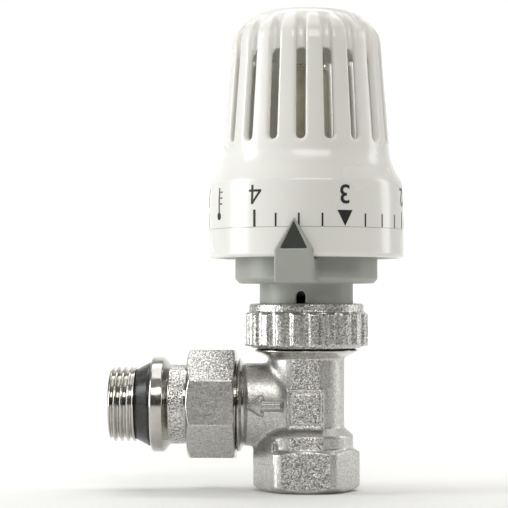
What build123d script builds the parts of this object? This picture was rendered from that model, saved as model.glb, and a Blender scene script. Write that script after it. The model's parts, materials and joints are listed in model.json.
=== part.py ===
"""Angle-pattern thermostatic radiator valve, 1/2 inch: forged body and insert, union tail, sensor head.

Millimetres. The origin is the centre of the inlet socket's mouth, +Z runs up the spindle to the head,
and the outlet branch points along -X. The pointer faces -Y.
"""

import os
from math import cos, radians, sin

from build123d import *

os.makedirs("parts", exist_ok=True)

# ---- clearances ----
FIT = 0.08  # radial, shafts and threads that turn or slide
GAP = 0.3  # free space between pieces of different bodies
SEATED = 0.05  # between pieces that are assembled against each other
EDGE = 0.5  # chamfer on turned edges

# ---- threads, as plain cylinders ----
INLET_MINOR_R = 9.32  # G1/2 female
TAIL_THREAD_R = 10.48  # G1/2 male
UNION_THREAD_R = 13.22  # G3/4 male
HEAD_THREAD_R = 14.9  # M30 x 1.5 male

# ---- body ----
SOCKET_AF = 27.0
SOCKET_CORNER_R = 14.9
SOCKET_FOOT_R = 12.4
SOCKET_FOOT_CHAMFER = 1.5
SOCKET_TOP = 10.8
SOCKET_DEPTH = 12.0
SOCKET_WEB_TOP = 14.0
SOCKET_WEB_X = -9.0
SHOULDER_R = 13.1
SHOULDER_BOTTOM = 11.9
SHOULDER_TOP = 15.6
TRUNK_R = 10.65
TRUNK_BOTTOM = 17.7
TRUNK_TOP = 37.1
COLLAR_R = 14.6
COLLAR_EDGE = 39.0
COLLAR_TOP = 39.4
HEAD_THREAD_BOTTOM = 40.6
BODY_TOP = 46.5
UNDERCUT = 1.2
BRANCH_Z = 24.0
BRANCH_HEIGHT_R = 11.6
BRANCH_DEPTH_R = 9.4
BRANCH_NECK_X = -17.2
UNION_SHOULDER_X = -18.2
BRANCH_END_X = -25.5
BRANCH_BORE_R = 7.0
SEAT_MOUTH_R = 11.3
SEAT_THROAT_X = -21.5
PASSAGE_R = 7.4
PASSAGE_TOP = 15.2
ORIFICE_R = 5.25
SEAT_R = 6.6
SEAT_Z = 18.5
CHAMBER_R = 8.2
CHAMBER_FLOOR = 16.9
INSERT_SHANK_R = 8.65
INSERT_THREAD_R = 10.9
INSERT_STEP_Z = 38.2
PAD_WIDTH = 10.2
PAD_BOTTOM = 17.7
PAD_TOP = 28.6
PAD_FRONT = 11.75
ARROW_TIP_X = -15.8
ARROW_TAIL_X = -6.9
ARROW_HEAD = 3.4
ARROW_HALF_HEIGHT = 2.3
ARROW_SHAFT_HALF = 0.95
ARROW_FRONT = 10.0

# ---- tail and union nut ----
TAIL_END_X = -55.0
TAIL_THREAD_X = -47.7
SEAL_SEAT_R = 9.2
SEAL_END_X = -43.25
TAIL_COLLAR_R = 13.3
TAIL_COLLAR_X = -39.85
TAIL_BEVEL_X = -38.05
TAIL_TUBE_R = 11.0
TAIL_NOSE_X = -25.3
TAIL_NOSE_END_X = -22.4
TAIL_NOSE_END_R = 7.85
TAIL_BORE_R = 6.0
TAIL_KEY_AF = 12.6
TAIL_KEY_DEPTH = 9.0
NUT_AF = 30.0
NUT_SIDES = 8
NUT_LEFT_X = -33.1
NUT_RIGHT_X = -19.7
NUT_TILT = 4.2  # degrees, as tightened
NUT_SHOULDER_X = -29.2
NUT_CHAMFER_R = 14.6
NUT_CORNER_R = 16.3
NUT_CHAMFER_LENGTH = 1.0
TAIL_RING_X = -28.1
SEAL_NARROW_R = 9.75
SEAL_WIDE_R = 11.7
RING_WIRE_R = 0.8

# ---- head nut ----
HEAD_NUT_BOTTOM = 39.8
HEAD_NUT_STEP_R = 15.6
HEAD_NUT_STEP_TOP = 40.4
HEAD_NUT_R = 17.28
HEAD_NUT_FLUTE_TOP = 50.0
HEAD_NUT_TOP = 52.3
HEAD_NUT_RING_R = 16.05
HEAD_NUT_LIP_Z = 49.6
FLUTES = 22
FLUTE_R = 1.55
FLUTE_DEPTH = 0.95

# ---- base of the head ----
NECK_R = 13.1
NECK_BORE_R = 11.2
BASE_R = 19.95
BASE_BOTTOM = 57.9
BASE_FLOOR_TOP = 60.4
BASE_RIM_TOP = 66.0
BASE_RIM_R = 18.3
BASE_EDGE = 1.2
ROD_GUIDE_TOP = 64.0
NECK_RING_Z = 48.4
CATCH_TUBE_R = 17.5
CATCH_TUBE_BORE_R = 15.7
CATCH_TUBE_TOP = 80.0
GUIDE_TUBE_R = 11.3
GUIDE_TUBE_BORE_R = 9.1
GUIDE_TUBE_TOP = 88.0
GUIDE_RIBS = 4
GUIDE_RIB_R = 12.35
GUIDE_RIB_WIDTH = 1.6
GUIDE_RIB_BOTTOM = 66.0
POINTER_ANGLE = -5.8  # degrees round the head from the front, towards the outlet
POINTER_WIDTH = 10.5
POINTER_OUTER_R = 29.0
POINTER_INNER_R = 27.6
POINTER_SHELF_TOP = 64.5
POINTER_SHOULDER_Z = 66.8
POINTER_TIP_Z = 75.5
MARK_WIDTH = 7.2
MARK_BOTTOM = 67.1
MARK_TOP = 74.4
MARK_DEPTH = 0.6
KEY_SLOT_WIDTH = 2.6
KEY_SLOT_TOP = 55.7
KEY_SLOT_BOTTOM = 52.7
KEY_SLOT_ARCH = KEY_SLOT_TOP - KEY_SLOT_WIDTH / 2

# ---- handwheel ----
SKIRT_BOTTOM = 64.9
SKIRT_R = 27.25
SKIRT_EDGE = 0.8
SKIRT_TOP = 85.3
SKIRT_TOP_R = 27.0
FLARE_MIDDLE = (24.75, 90.1)
GRIP_BOTTOM = 95.4
GRIP_R = 23.3
GRIP_TOP = 122.3
GRIP_TOP_R = 21.2
GRIP_SLOPE = (GRIP_TOP_R - GRIP_R, GRIP_TOP - GRIP_BOTTOM)
DOME = [(19.95, 128.3), (14.2, 133.3)]
WHEEL_TOP = 135.3
WALL = 2.2
CROWN_R = 19.5
CROWN = [(18.3, 126.7), (13.4, 131.0)]
CROWN_TOP = 132.9
HOLLOW_TOP = 129.6
SLOTS = 18
SLOT_WIDTH = 2.5
SLOT_FIRST_ANGLE = -3.0
SLOT_BOTTOM = 97.0
SLOT_TOP = 121.8
GROOVE_END_R = 16.5
WEB_BOTTOM = 92.6
WEB_TOP = 94.8
SLEEVE_R = 15.4
SLEEVE_BORE_R = 13.6
SLEEVE_BOTTOM = 69.0
CATCH_RING_Z = 76.0

# ---- sensor train ----
CARRIER_BOTTOM = 77.0
CARRIER_TOP = 96.4
CARRIER_FLOOR = 94.2
CARRIER_BORE_R = 11.6
SENSOR_R = 5.8
SENSOR_BOTTOM = 96.45
SENSOR_TOP = 119.3
SENSOR_NECK_R = 4.5
SENSOR_RIM = 1.1
SENSOR_BAND = 0.5
SENSOR_BAND_HEIGHT = 2.4
PIN_R = 1.5
PIN_BOTTOM = 88.45
PIN_TOP = 106.0
CUP_R = 8.7
CUP_BOTTOM = 69.6
CUP_TOP = 88.4
CUP_WALL = 1.0
CUP_LIP_R = 5.6
ROD_R = 3.0
ROD_FLANGE_R = 7.2
ROD_FLANGE_TOP = 72.2
ROD_FLANGE_BOTTOM = 70.7
OVERTRAVEL_MEAN_R = 6.2
OVERTRAVEL_WIRE_R = 0.9
OVERTRAVEL_TURNS = 5

# ---- insert and spindle ----
SPINDLE_R = 2.0
SPINDLE_TOP = 54.2
SPINDLE_TIP_R = 1.4
SPINDLE_BOTTOM = 20.9
DISC_BOTTOM = 21.7
DISC_R = 6.8
DISC_THICKNESS = 2.4
DISC_LIP = 0.8
HOLDER_R = 7.3
HOLDER_TOP = 26.4
RETAINER_R = 2.8
INSERT_BOTTOM = 31.5
INSERT_FLOOR_TOP = 33.0
INSERT_CAVITY_R = 6.2
INSERT_HEX_AF = 18.0
INSERT_TOP = 49.0
GLAND_R = 7.0
GLAND_BOTTOM = 43.05
GLAND_HEX_AF = 11.0
GLAND_TOP = 50.4
CLIP_R = 4.4
CLIP_BOTTOM = 39.3
CLIP_TOP = 40.3
RETURN_MEAN_R = 4.0
RETURN_WIRE_R = 0.5
RETURN_TURNS = 5
ORING_SECTION = 1.7
ORING_GROOVE = 2.2
INSERT_GROOVE_BOTTOM = 34.5
GLAND_GROOVE_R = 3.9
GLAND_GROOVE_BOTTOM = 44.8
CLIP_BORE_R = 1.5
RING_OPENING = 40.0  # degrees of a snap ring's gap
STAY_SHARE = 0.7  # of a spring wire's radius

BRANCH_AXIS = Axis((0, 0, BRANCH_Z), (1, 0, 0))


def facing(azimuth, distance=0.0):
    """Upright plane facing outwards, its azimuth in degrees from the front towards +X."""
    outward = Vector(sin(radians(azimuth)), -cos(radians(azimuth)), 0)
    sideways = Vector(cos(radians(azimuth)), sin(radians(azimuth)), 0)
    return Plane(origin=outward * distance, x_dir=sideways, z_dir=outward)


POINTER_PLANE = facing(POINTER_ANGLE, POINTER_OUTER_R)
NECK_PLANE = facing(POINTER_ANGLE, NECK_R)


def turned(outline, mode=Mode.ADD):
    """Revolve a closed outline of (radius, height) points about the head's axis."""
    with BuildSketch(Plane.XZ) as section:
        with BuildLine():
            Polyline(*outline, close=True)
        make_face()
    revolve(section.sketch, axis=Axis.Z, mode=mode)


def branch_turned(outline, mode=Mode.ADD):
    """Revolve a closed outline of (x, radius) points about the branch's axis."""
    with BuildSketch(Plane.XZ) as section:
        with BuildLine():
            Polyline(*[(x, BRANCH_Z + r) for x, r in outline], close=True)
        make_face()
    revolve(section.sketch, axis=BRANCH_AXIS, mode=mode)


def tongue_outline(width, bottom, shoulder, tip):
    """House-shaped outline in the pointer's plane, starting at its lower left corner."""
    return [
        (-width / 2, bottom),
        (-width / 2, shoulder),
        (0, tip),
        (width / 2, shoulder),
        (width / 2, bottom),
    ]


def hexagon(across_flats, bottom, top, mode=Mode.ADD):
    """Upright hexagonal prism with a flat towards the front."""
    with BuildSketch(Plane.XY.offset(bottom)) as section:
        RegularPolygon(radius=across_flats / 2, side_count=6, major_radius=False)
    extrude(section.sketch, amount=top - bottom, mode=mode)


def wire_ring(mean_r, wire_r, height, opening):
    """Round-wire ring about the head's axis, its gap in degrees."""
    with BuildSketch(Plane.XZ) as section:
        with Locations((mean_r, height)):
            Circle(wire_r)
    revolve(section.sketch, axis=Axis.Z, revolution_arc=360 - opening)


def spring_turns(mean_r, wire_r, bottom, top, turns):
    """A compression spring's turns as closed rings, joined by a thin stay along one side."""
    pitch = (top - bottom - 2 * wire_r) / (turns - 1)
    for turn in range(turns):
        with BuildSketch(Plane.XZ) as section:
            with Locations((mean_r, bottom + wire_r + turn * pitch)):
                Circle(wire_r)
        revolve(section.sketch, axis=Axis.Z)
    with BuildSketch(Plane.XY.offset(bottom + wire_r)) as stay:
        with Locations((mean_r, 0)):
            Circle(wire_r * STAY_SHARE)
    extrude(stay.sketch, amount=top - bottom - 2 * wire_r)


# ---- valve body ----
with BuildPart() as valve_body:
    hexagon(SOCKET_AF, 0, SHOULDER_BOTTOM)
    turned(
        [
            (0, 0),
            (SOCKET_FOOT_R, 0),
            (SOCKET_CORNER_R, SOCKET_FOOT_CHAMFER),
            (SOCKET_CORNER_R, SOCKET_TOP),
            (SHOULDER_R, SHOULDER_BOTTOM),
            (0, SHOULDER_BOTTOM),
        ],
        mode=Mode.INTERSECT,
    )
    # web that joins the socket to the underside of the branch
    with BuildSketch(Plane.XY.offset(SOCKET_TOP - 1)) as web:
        RegularPolygon(radius=SOCKET_AF / 2, side_count=6, major_radius=False)
        Circle(SOCKET_CORNER_R, mode=Mode.INTERSECT)
        with Locations((SOCKET_WEB_X - SOCKET_AF, 0)):
            Rectangle(2 * SOCKET_AF, 2 * SOCKET_AF, mode=Mode.INTERSECT)
    extrude(web.sketch, amount=SOCKET_WEB_TOP - SOCKET_TOP + 1)
    turned(
        [
            (0, SOCKET_TOP / 2),
            (SHOULDER_R, SOCKET_TOP / 2),
            (SHOULDER_R, SHOULDER_TOP),
            (TRUNK_R, TRUNK_BOTTOM),
            (TRUNK_R, TRUNK_TOP),
            (COLLAR_R, COLLAR_EDGE),
            (COLLAR_R, COLLAR_TOP),
            (HEAD_THREAD_R - UNDERCUT, COLLAR_TOP),
            (HEAD_THREAD_R - UNDERCUT, HEAD_THREAD_BOTTOM),
            (HEAD_THREAD_R, HEAD_THREAD_BOTTOM + UNDERCUT),
            (HEAD_THREAD_R, BODY_TOP - UNDERCUT),
            (HEAD_THREAD_R - UNDERCUT, BODY_TOP),
            (0, BODY_TOP),
        ]
    )
    with BuildSketch(Plane.YZ) as branch_section:
        with Locations((0, BRANCH_Z)):
            Ellipse(BRANCH_DEPTH_R, BRANCH_HEIGHT_R)
    extrude(branch_section.sketch, amount=BRANCH_NECK_X)
    branch_turned(
        [
            (BRANCH_NECK_X + 2 * UNDERCUT, 0),
            (BRANCH_NECK_X + UNDERCUT, BRANCH_DEPTH_R),
            (BRANCH_NECK_X, BRANCH_HEIGHT_R),
            (UNION_SHOULDER_X, UNION_THREAD_R),
            (BRANCH_END_X + UNDERCUT / 2, UNION_THREAD_R),
            (BRANCH_END_X, UNION_THREAD_R - UNDERCUT / 2),
            (BRANCH_END_X, 0),
        ]
    )
    # raised square pad on the front of the trunk
    with BuildSketch(Plane.XZ) as pad:
        with Locations((0, (PAD_BOTTOM + PAD_TOP) / 2)):
            Rectangle(PAD_WIDTH, PAD_TOP - PAD_BOTTOM)
    extrude(pad.sketch, amount=PAD_FRONT)
    # raised flow arrow on the front of the branch
    with BuildSketch(Plane.XZ) as arrow:
        with BuildLine():
            Polyline(
                (ARROW_TIP_X, BRANCH_Z),
                (ARROW_TIP_X + ARROW_HEAD, BRANCH_Z + ARROW_HALF_HEIGHT),
                (ARROW_TIP_X + ARROW_HEAD, BRANCH_Z + ARROW_SHAFT_HALF),
                (ARROW_TAIL_X, BRANCH_Z + ARROW_SHAFT_HALF),
                (ARROW_TAIL_X, BRANCH_Z - ARROW_SHAFT_HALF),
                (ARROW_TIP_X + ARROW_HEAD, BRANCH_Z - ARROW_SHAFT_HALF),
                (ARROW_TIP_X + ARROW_HEAD, BRANCH_Z - ARROW_HALF_HEIGHT),
                close=True,
            )
        make_face()
    extrude(arrow.sketch, amount=ARROW_FRONT)
    # inlet socket, passage, orifice with its raised seat, chamber and the insert's bores
    turned(
        [
            (0, -1),
            (INLET_MINOR_R, -1),
            (INLET_MINOR_R, SOCKET_DEPTH),
            (PASSAGE_R, SOCKET_DEPTH + UNDERCUT),
            (PASSAGE_R, PASSAGE_TOP - UNDERCUT),
            (ORIFICE_R, PASSAGE_TOP),
            (ORIFICE_R, SEAT_Z),
            (SEAT_R, SEAT_Z),
            (SEAT_R, CHAMBER_FLOOR),
            (CHAMBER_R, CHAMBER_FLOOR),
            (CHAMBER_R, INSERT_BOTTOM - GAP),
            (INSERT_SHANK_R + SEATED, INSERT_BOTTOM),
            (INSERT_SHANK_R + SEATED, INSERT_STEP_Z - SEATED),
            (INSERT_THREAD_R + SEATED, INSERT_STEP_Z - SEATED),
            (INSERT_THREAD_R + SEATED, BODY_TOP + 1),
            (0, BODY_TOP + 1),
        ],
        mode=Mode.SUBTRACT,
    )
    # outlet bore and the conical seat for the tail
    branch_turned(
        [
            (-CHAMBER_R / 2, 0),
            (-CHAMBER_R / 2, BRANCH_BORE_R),
            (SEAT_THROAT_X, BRANCH_BORE_R),
            (BRANCH_END_X, SEAT_MOUTH_R),
            (BRANCH_END_X - 1, SEAT_MOUTH_R),
            (BRANCH_END_X - 1, 0),
        ],
        mode=Mode.SUBTRACT,
    )
valve_body.part.label = "valve_body"
export_step(valve_body.part, "parts/valve_body.step")

# ---- insert: screwed into the body, holds the spring and guides the spindle ----
with BuildPart() as valve_insert:
    turned(
        [
            (0, INSERT_BOTTOM),
            (INSERT_SHANK_R, INSERT_BOTTOM),
            (INSERT_SHANK_R, INSERT_GROOVE_BOTTOM),
            (INSERT_SHANK_R - ORING_SECTION, INSERT_GROOVE_BOTTOM),
            (INSERT_SHANK_R - ORING_SECTION, INSERT_GROOVE_BOTTOM + ORING_GROOVE),
            (INSERT_SHANK_R, INSERT_GROOVE_BOTTOM + ORING_GROOVE),
            (INSERT_SHANK_R, INSERT_STEP_Z),
            (INSERT_THREAD_R, INSERT_STEP_Z),
            (INSERT_THREAD_R, BODY_TOP),
            (0, BODY_TOP),
        ]
    )
    hexagon(INSERT_HEX_AF, BODY_TOP - 1, INSERT_TOP)
    turned(
        [
            (0, INSERT_BOTTOM),
            (SPINDLE_R + GAP, INSERT_BOTTOM),
            (SPINDLE_R + GAP, INSERT_FLOOR_TOP),
            (INSERT_CAVITY_R, INSERT_FLOOR_TOP),
            (INSERT_CAVITY_R, GLAND_BOTTOM - SEATED),
            (GLAND_R + SEATED, GLAND_BOTTOM - SEATED),
            (GLAND_R + SEATED, INSERT_TOP),
            (0, INSERT_TOP),
        ],
        mode=Mode.SUBTRACT,
    )
valve_insert.part.label = "valve_insert"
export_step(valve_insert.part, "parts/valve_insert.step")

# ---- O-ring round the insert's shank ----
with BuildPart() as insert_o_ring:
    wire_ring(INSERT_SHANK_R - ORING_SECTION / 2 + SEATED / 2, ORING_SECTION / 2 - SEATED,
              INSERT_GROOVE_BOTTOM + ORING_GROOVE / 2, opening=0)
insert_o_ring.part.label = "insert_o_ring"
export_step(insert_o_ring.part, "parts/insert_o_ring.step")

# ---- gland nut: closes the insert and seals the spindle ----
with BuildPart() as gland_nut:
    turned([(0, GLAND_BOTTOM), (GLAND_R, GLAND_BOTTOM), (GLAND_R, INSERT_TOP), (0, INSERT_TOP)])
    hexagon(GLAND_HEX_AF, INSERT_TOP - 1, GLAND_TOP)
    turned(
        [
            (0, GLAND_BOTTOM),
            (SPINDLE_R + FIT, GLAND_BOTTOM),
            (SPINDLE_R + FIT, GLAND_GROOVE_BOTTOM),
            (GLAND_GROOVE_R, GLAND_GROOVE_BOTTOM),
            (GLAND_GROOVE_R, GLAND_GROOVE_BOTTOM + ORING_GROOVE),
            (SPINDLE_R + FIT, GLAND_GROOVE_BOTTOM + ORING_GROOVE),
            (SPINDLE_R + FIT, GLAND_TOP),
            (0, GLAND_TOP),
        ],
        mode=Mode.SUBTRACT,
    )
gland_nut.part.label = "gland_nut"
export_step(gland_nut.part, "parts/gland_nut.step")

# ---- O-ring that seals the spindle inside the gland nut ----
with BuildPart() as gland_o_ring:
    wire_ring(
        (SPINDLE_R + FIT + GLAND_GROOVE_R) / 2,
        (GLAND_GROOVE_R - SPINDLE_R - FIT - SEATED) / 2,
        GLAND_GROOVE_BOTTOM + ORING_GROOVE / 2,
        opening=0,
    )
gland_o_ring.part.label = "gland_o_ring"
export_step(gland_o_ring.part, "parts/gland_o_ring.step")

# ---- spindle ----
with BuildPart() as spindle:
    turned(
        [
            (0, SPINDLE_BOTTOM),
            (SPINDLE_TIP_R, SPINDLE_BOTTOM),
            (SPINDLE_TIP_R, HOLDER_TOP - 1),
            (SPINDLE_R, HOLDER_TOP - 1),
            (SPINDLE_R, CLIP_BOTTOM),
            (CLIP_BORE_R, CLIP_BOTTOM),
            (CLIP_BORE_R, CLIP_TOP),
            (SPINDLE_R, CLIP_TOP),
            (SPINDLE_R, SPINDLE_TOP - EDGE),
            (SPINDLE_R - EDGE, SPINDLE_TOP),
            (0, SPINDLE_TOP),
        ]
    )
spindle.part.label = "spindle"
export_step(spindle.part, "parts/spindle.step")

# ---- clip on the spindle that the return spring pushes up ----
with BuildPart() as spindle_clip:
    turned(
        [
            (CLIP_BORE_R + SEATED, CLIP_BOTTOM + SEATED),
            (CLIP_R, CLIP_BOTTOM + SEATED),
            (CLIP_R, CLIP_TOP - SEATED),
            (CLIP_BORE_R + SEATED, CLIP_TOP - SEATED),
        ]
    )
    with BuildSketch(Plane.XY.offset(CLIP_BOTTOM)) as clip_mouth:
        with Locations((0, CLIP_R)):
            Rectangle(2 * CLIP_BORE_R, 2 * CLIP_R)
    extrude(clip_mouth.sketch, amount=CLIP_TOP - CLIP_BOTTOM, mode=Mode.SUBTRACT)
spindle_clip.part.label = "spindle_clip"
export_step(spindle_clip.part, "parts/spindle_clip.step")

# ---- return spring: lifts the spindle when the head lets go ----
with BuildPart() as return_spring:
    spring_turns(
        RETURN_MEAN_R, RETURN_WIRE_R, INSERT_FLOOR_TOP + SEATED, CLIP_BOTTOM - SEATED, RETURN_TURNS
    )
return_spring.part.label = "return_spring"
export_step(return_spring.part, "parts/return_spring.step")

# ---- disc holder: cup on the spindle's lower end ----
with BuildPart() as disc_holder:
    turned(
        [
            (SPINDLE_TIP_R + SEATED, DISC_BOTTOM + DISC_THICKNESS),
            (DISC_R + SEATED, DISC_BOTTOM + DISC_THICKNESS),
            (DISC_R + SEATED, DISC_BOTTOM + DISC_LIP),
            (HOLDER_R, DISC_BOTTOM + DISC_LIP),
            (HOLDER_R, HOLDER_TOP - 2),
            (HOLDER_R / 2, HOLDER_TOP - 1 - SEATED),
            (SPINDLE_TIP_R + SEATED, HOLDER_TOP - 1 - SEATED),
        ]
    )
disc_holder.part.label = "disc_holder"
export_step(disc_holder.part, "parts/disc_holder.step")

# ---- rubber disc that closes on the seat ----
with BuildPart() as disc_seal:
    turned(
        [
            (SPINDLE_TIP_R + SEATED, DISC_BOTTOM),
            (DISC_R, DISC_BOTTOM),
            (DISC_R, DISC_BOTTOM + DISC_THICKNESS - SEATED),
            (SPINDLE_TIP_R + SEATED, DISC_BOTTOM + DISC_THICKNESS - SEATED),
        ]
    )
disc_seal.part.label = "disc_seal"
export_step(disc_seal.part, "parts/disc_seal.step")

# ---- retainer riveted under the disc ----
with BuildPart() as disc_retainer:
    turned(
        [
            (SPINDLE_TIP_R + SEATED, SPINDLE_BOTTOM),
            (RETAINER_R - EDGE, SPINDLE_BOTTOM),
            (RETAINER_R, DISC_BOTTOM - EDGE / 2),
            (RETAINER_R, DISC_BOTTOM - SEATED),
            (SPINDLE_TIP_R + SEATED, DISC_BOTTOM - SEATED),
        ]
    )
disc_retainer.part.label = "disc_retainer"
export_step(disc_retainer.part, "parts/disc_retainer.step")

# ---- tailpiece: screws into the radiator ----
with BuildPart() as tailpiece:
    branch_turned(
        [
            (TAIL_END_X, 0),
            (TAIL_END_X, TAIL_THREAD_R - 1),
            (TAIL_END_X + 1, TAIL_THREAD_R),
            (TAIL_THREAD_X, TAIL_THREAD_R),
            (TAIL_THREAD_X, SEAL_SEAT_R),
            (SEAL_END_X, SEAL_SEAT_R),
            (SEAL_END_X, TAIL_COLLAR_R - EDGE),
            (SEAL_END_X + EDGE, TAIL_COLLAR_R),
            (TAIL_COLLAR_X, TAIL_COLLAR_R),
            (TAIL_BEVEL_X, TAIL_TUBE_R),
            (TAIL_RING_X - RING_WIRE_R - SEATED, TAIL_TUBE_R),
            (TAIL_RING_X - RING_WIRE_R - SEATED, TAIL_TUBE_R - RING_WIRE_R - SEATED),
            (TAIL_RING_X + RING_WIRE_R + SEATED, TAIL_TUBE_R - RING_WIRE_R - SEATED),
            (TAIL_RING_X + RING_WIRE_R + SEATED, TAIL_TUBE_R),
            (TAIL_NOSE_X, TAIL_TUBE_R),
            (TAIL_NOSE_END_X, TAIL_NOSE_END_R),
            (TAIL_NOSE_END_X, 0),
        ]
    )
    branch_turned(
        [
            (TAIL_END_X - 1, 0),
            (TAIL_END_X - 1, TAIL_BORE_R),
            (TAIL_NOSE_END_X + 1, TAIL_BORE_R),
            (TAIL_NOSE_END_X + 1, 0),
        ],
        mode=Mode.SUBTRACT,
    )
    # hexagonal key socket in the threaded end
    with BuildSketch(Plane.YZ.offset(TAIL_END_X)) as key_socket:
        with Locations((0, BRANCH_Z)):
            RegularPolygon(radius=TAIL_KEY_AF / 2, side_count=6, major_radius=False)
    extrude(key_socket.sketch, amount=TAIL_KEY_DEPTH, mode=Mode.SUBTRACT)
tailpiece.part.label = "tailpiece"
export_step(tailpiece.part, "parts/tailpiece.step")

# ---- conical rubber seal behind the tail's thread ----
with BuildPart() as tail_seal:
    branch_turned(
        [
            (TAIL_THREAD_X + SEATED, SEAL_SEAT_R + SEATED),
            (TAIL_THREAD_X + SEATED, SEAL_NARROW_R),
            (SEAL_END_X - EDGE, SEAL_WIDE_R),
            (SEAL_END_X - SEATED, SEAL_WIDE_R - EDGE / 2),
            (SEAL_END_X - SEATED, SEAL_SEAT_R + SEATED),
        ]
    )
tail_seal.part.label = "tail_seal"
export_step(tail_seal.part, "parts/tail_seal.step")

# ---- wire ring on the tail that the union nut pulls against ----
with BuildPart() as tail_snap_ring:
    with BuildSketch(Plane.XZ) as tail_ring_wire:
        with Locations((TAIL_RING_X, BRANCH_Z + TAIL_TUBE_R)):
            Circle(RING_WIRE_R)
    revolve(tail_ring_wire.sketch, axis=BRANCH_AXIS, revolution_arc=360 - RING_OPENING)
tail_snap_ring.part.label = "tail_snap_ring"
export_step(tail_snap_ring.part, "parts/tail_snap_ring.step")

# ---- octagonal union nut ----
with BuildPart() as union_nut:
    with BuildSketch(Plane.YZ.offset(NUT_LEFT_X)) as nut_section:
        with Locations((0, BRANCH_Z)):
            RegularPolygon(
                radius=NUT_AF / 2,
                side_count=NUT_SIDES,
                major_radius=False,
                rotation=180 / NUT_SIDES + NUT_TILT,
            )
    extrude(nut_section.sketch, amount=NUT_RIGHT_X - NUT_LEFT_X)
    branch_turned(
        [
            (NUT_LEFT_X, 0),
            (NUT_LEFT_X, NUT_CHAMFER_R),
            (NUT_LEFT_X + NUT_CHAMFER_LENGTH, NUT_CORNER_R),
            (NUT_RIGHT_X - NUT_CHAMFER_LENGTH / 2, NUT_CORNER_R),
            (NUT_RIGHT_X, NUT_CORNER_R - NUT_CHAMFER_LENGTH),
            (NUT_RIGHT_X, 0),
        ],
        mode=Mode.INTERSECT,
    )
    branch_turned(
        [
            (NUT_LEFT_X - 1, 0),
            (NUT_LEFT_X - 1, TAIL_TUBE_R + GAP),
            (NUT_SHOULDER_X, TAIL_TUBE_R + GAP),
            (NUT_SHOULDER_X, UNION_THREAD_R + FIT),
            (NUT_RIGHT_X + 1, UNION_THREAD_R + FIT),
            (NUT_RIGHT_X + 1, 0),
        ],
        mode=Mode.SUBTRACT,
    )
union_nut.part.label = "union_nut"
export_step(union_nut.part, "parts/union_nut.step")

# ---- knurled nut that clamps the head onto the body ----
with BuildPart() as head_nut:
    turned(
        [
            (0, HEAD_NUT_BOTTOM),
            (HEAD_NUT_STEP_R - EDGE, HEAD_NUT_BOTTOM),
            (HEAD_NUT_STEP_R, HEAD_NUT_STEP_TOP),
            (HEAD_NUT_R - EDGE, HEAD_NUT_STEP_TOP),
            (HEAD_NUT_R, HEAD_NUT_STEP_TOP + EDGE),
            (HEAD_NUT_R, HEAD_NUT_FLUTE_TOP - 2 * EDGE),
            (HEAD_NUT_RING_R, HEAD_NUT_FLUTE_TOP),
            (HEAD_NUT_RING_R, HEAD_NUT_TOP - EDGE),
            (HEAD_NUT_RING_R - EDGE, HEAD_NUT_TOP),
            (0, HEAD_NUT_TOP),
        ]
    )
    with BuildSketch(Plane.XY.offset(HEAD_NUT_STEP_TOP)) as flutes:
        with PolarLocations(HEAD_NUT_R + FLUTE_R - FLUTE_DEPTH, FLUTES):
            Circle(FLUTE_R)
    extrude(flutes.sketch, amount=HEAD_NUT_FLUTE_TOP + EDGE - HEAD_NUT_STEP_TOP, mode=Mode.SUBTRACT)
    turned(
        [
            (0, HEAD_NUT_BOTTOM - 1),
            (HEAD_THREAD_R + FIT, HEAD_NUT_BOTTOM - 1),
            (HEAD_THREAD_R + FIT, HEAD_NUT_LIP_Z),
            (NECK_R + GAP, HEAD_NUT_LIP_Z),
            (NECK_R + GAP, HEAD_NUT_TOP + 1),
            (0, HEAD_NUT_TOP + 1),
        ],
        mode=Mode.SUBTRACT,
    )
head_nut.part.label = "head_nut"
export_step(head_nut.part, "parts/head_nut.step")

# ---- wire ring in the neck that the knurled nut pulls down ----
with BuildPart() as head_nut_snap_ring:
    wire_ring(NECK_R, RING_WIRE_R, NECK_RING_Z, opening=RING_OPENING)
head_nut_snap_ring.part.label = "head_nut_snap_ring"
export_step(head_nut_snap_ring.part, "parts/head_nut_snap_ring.step")

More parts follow.
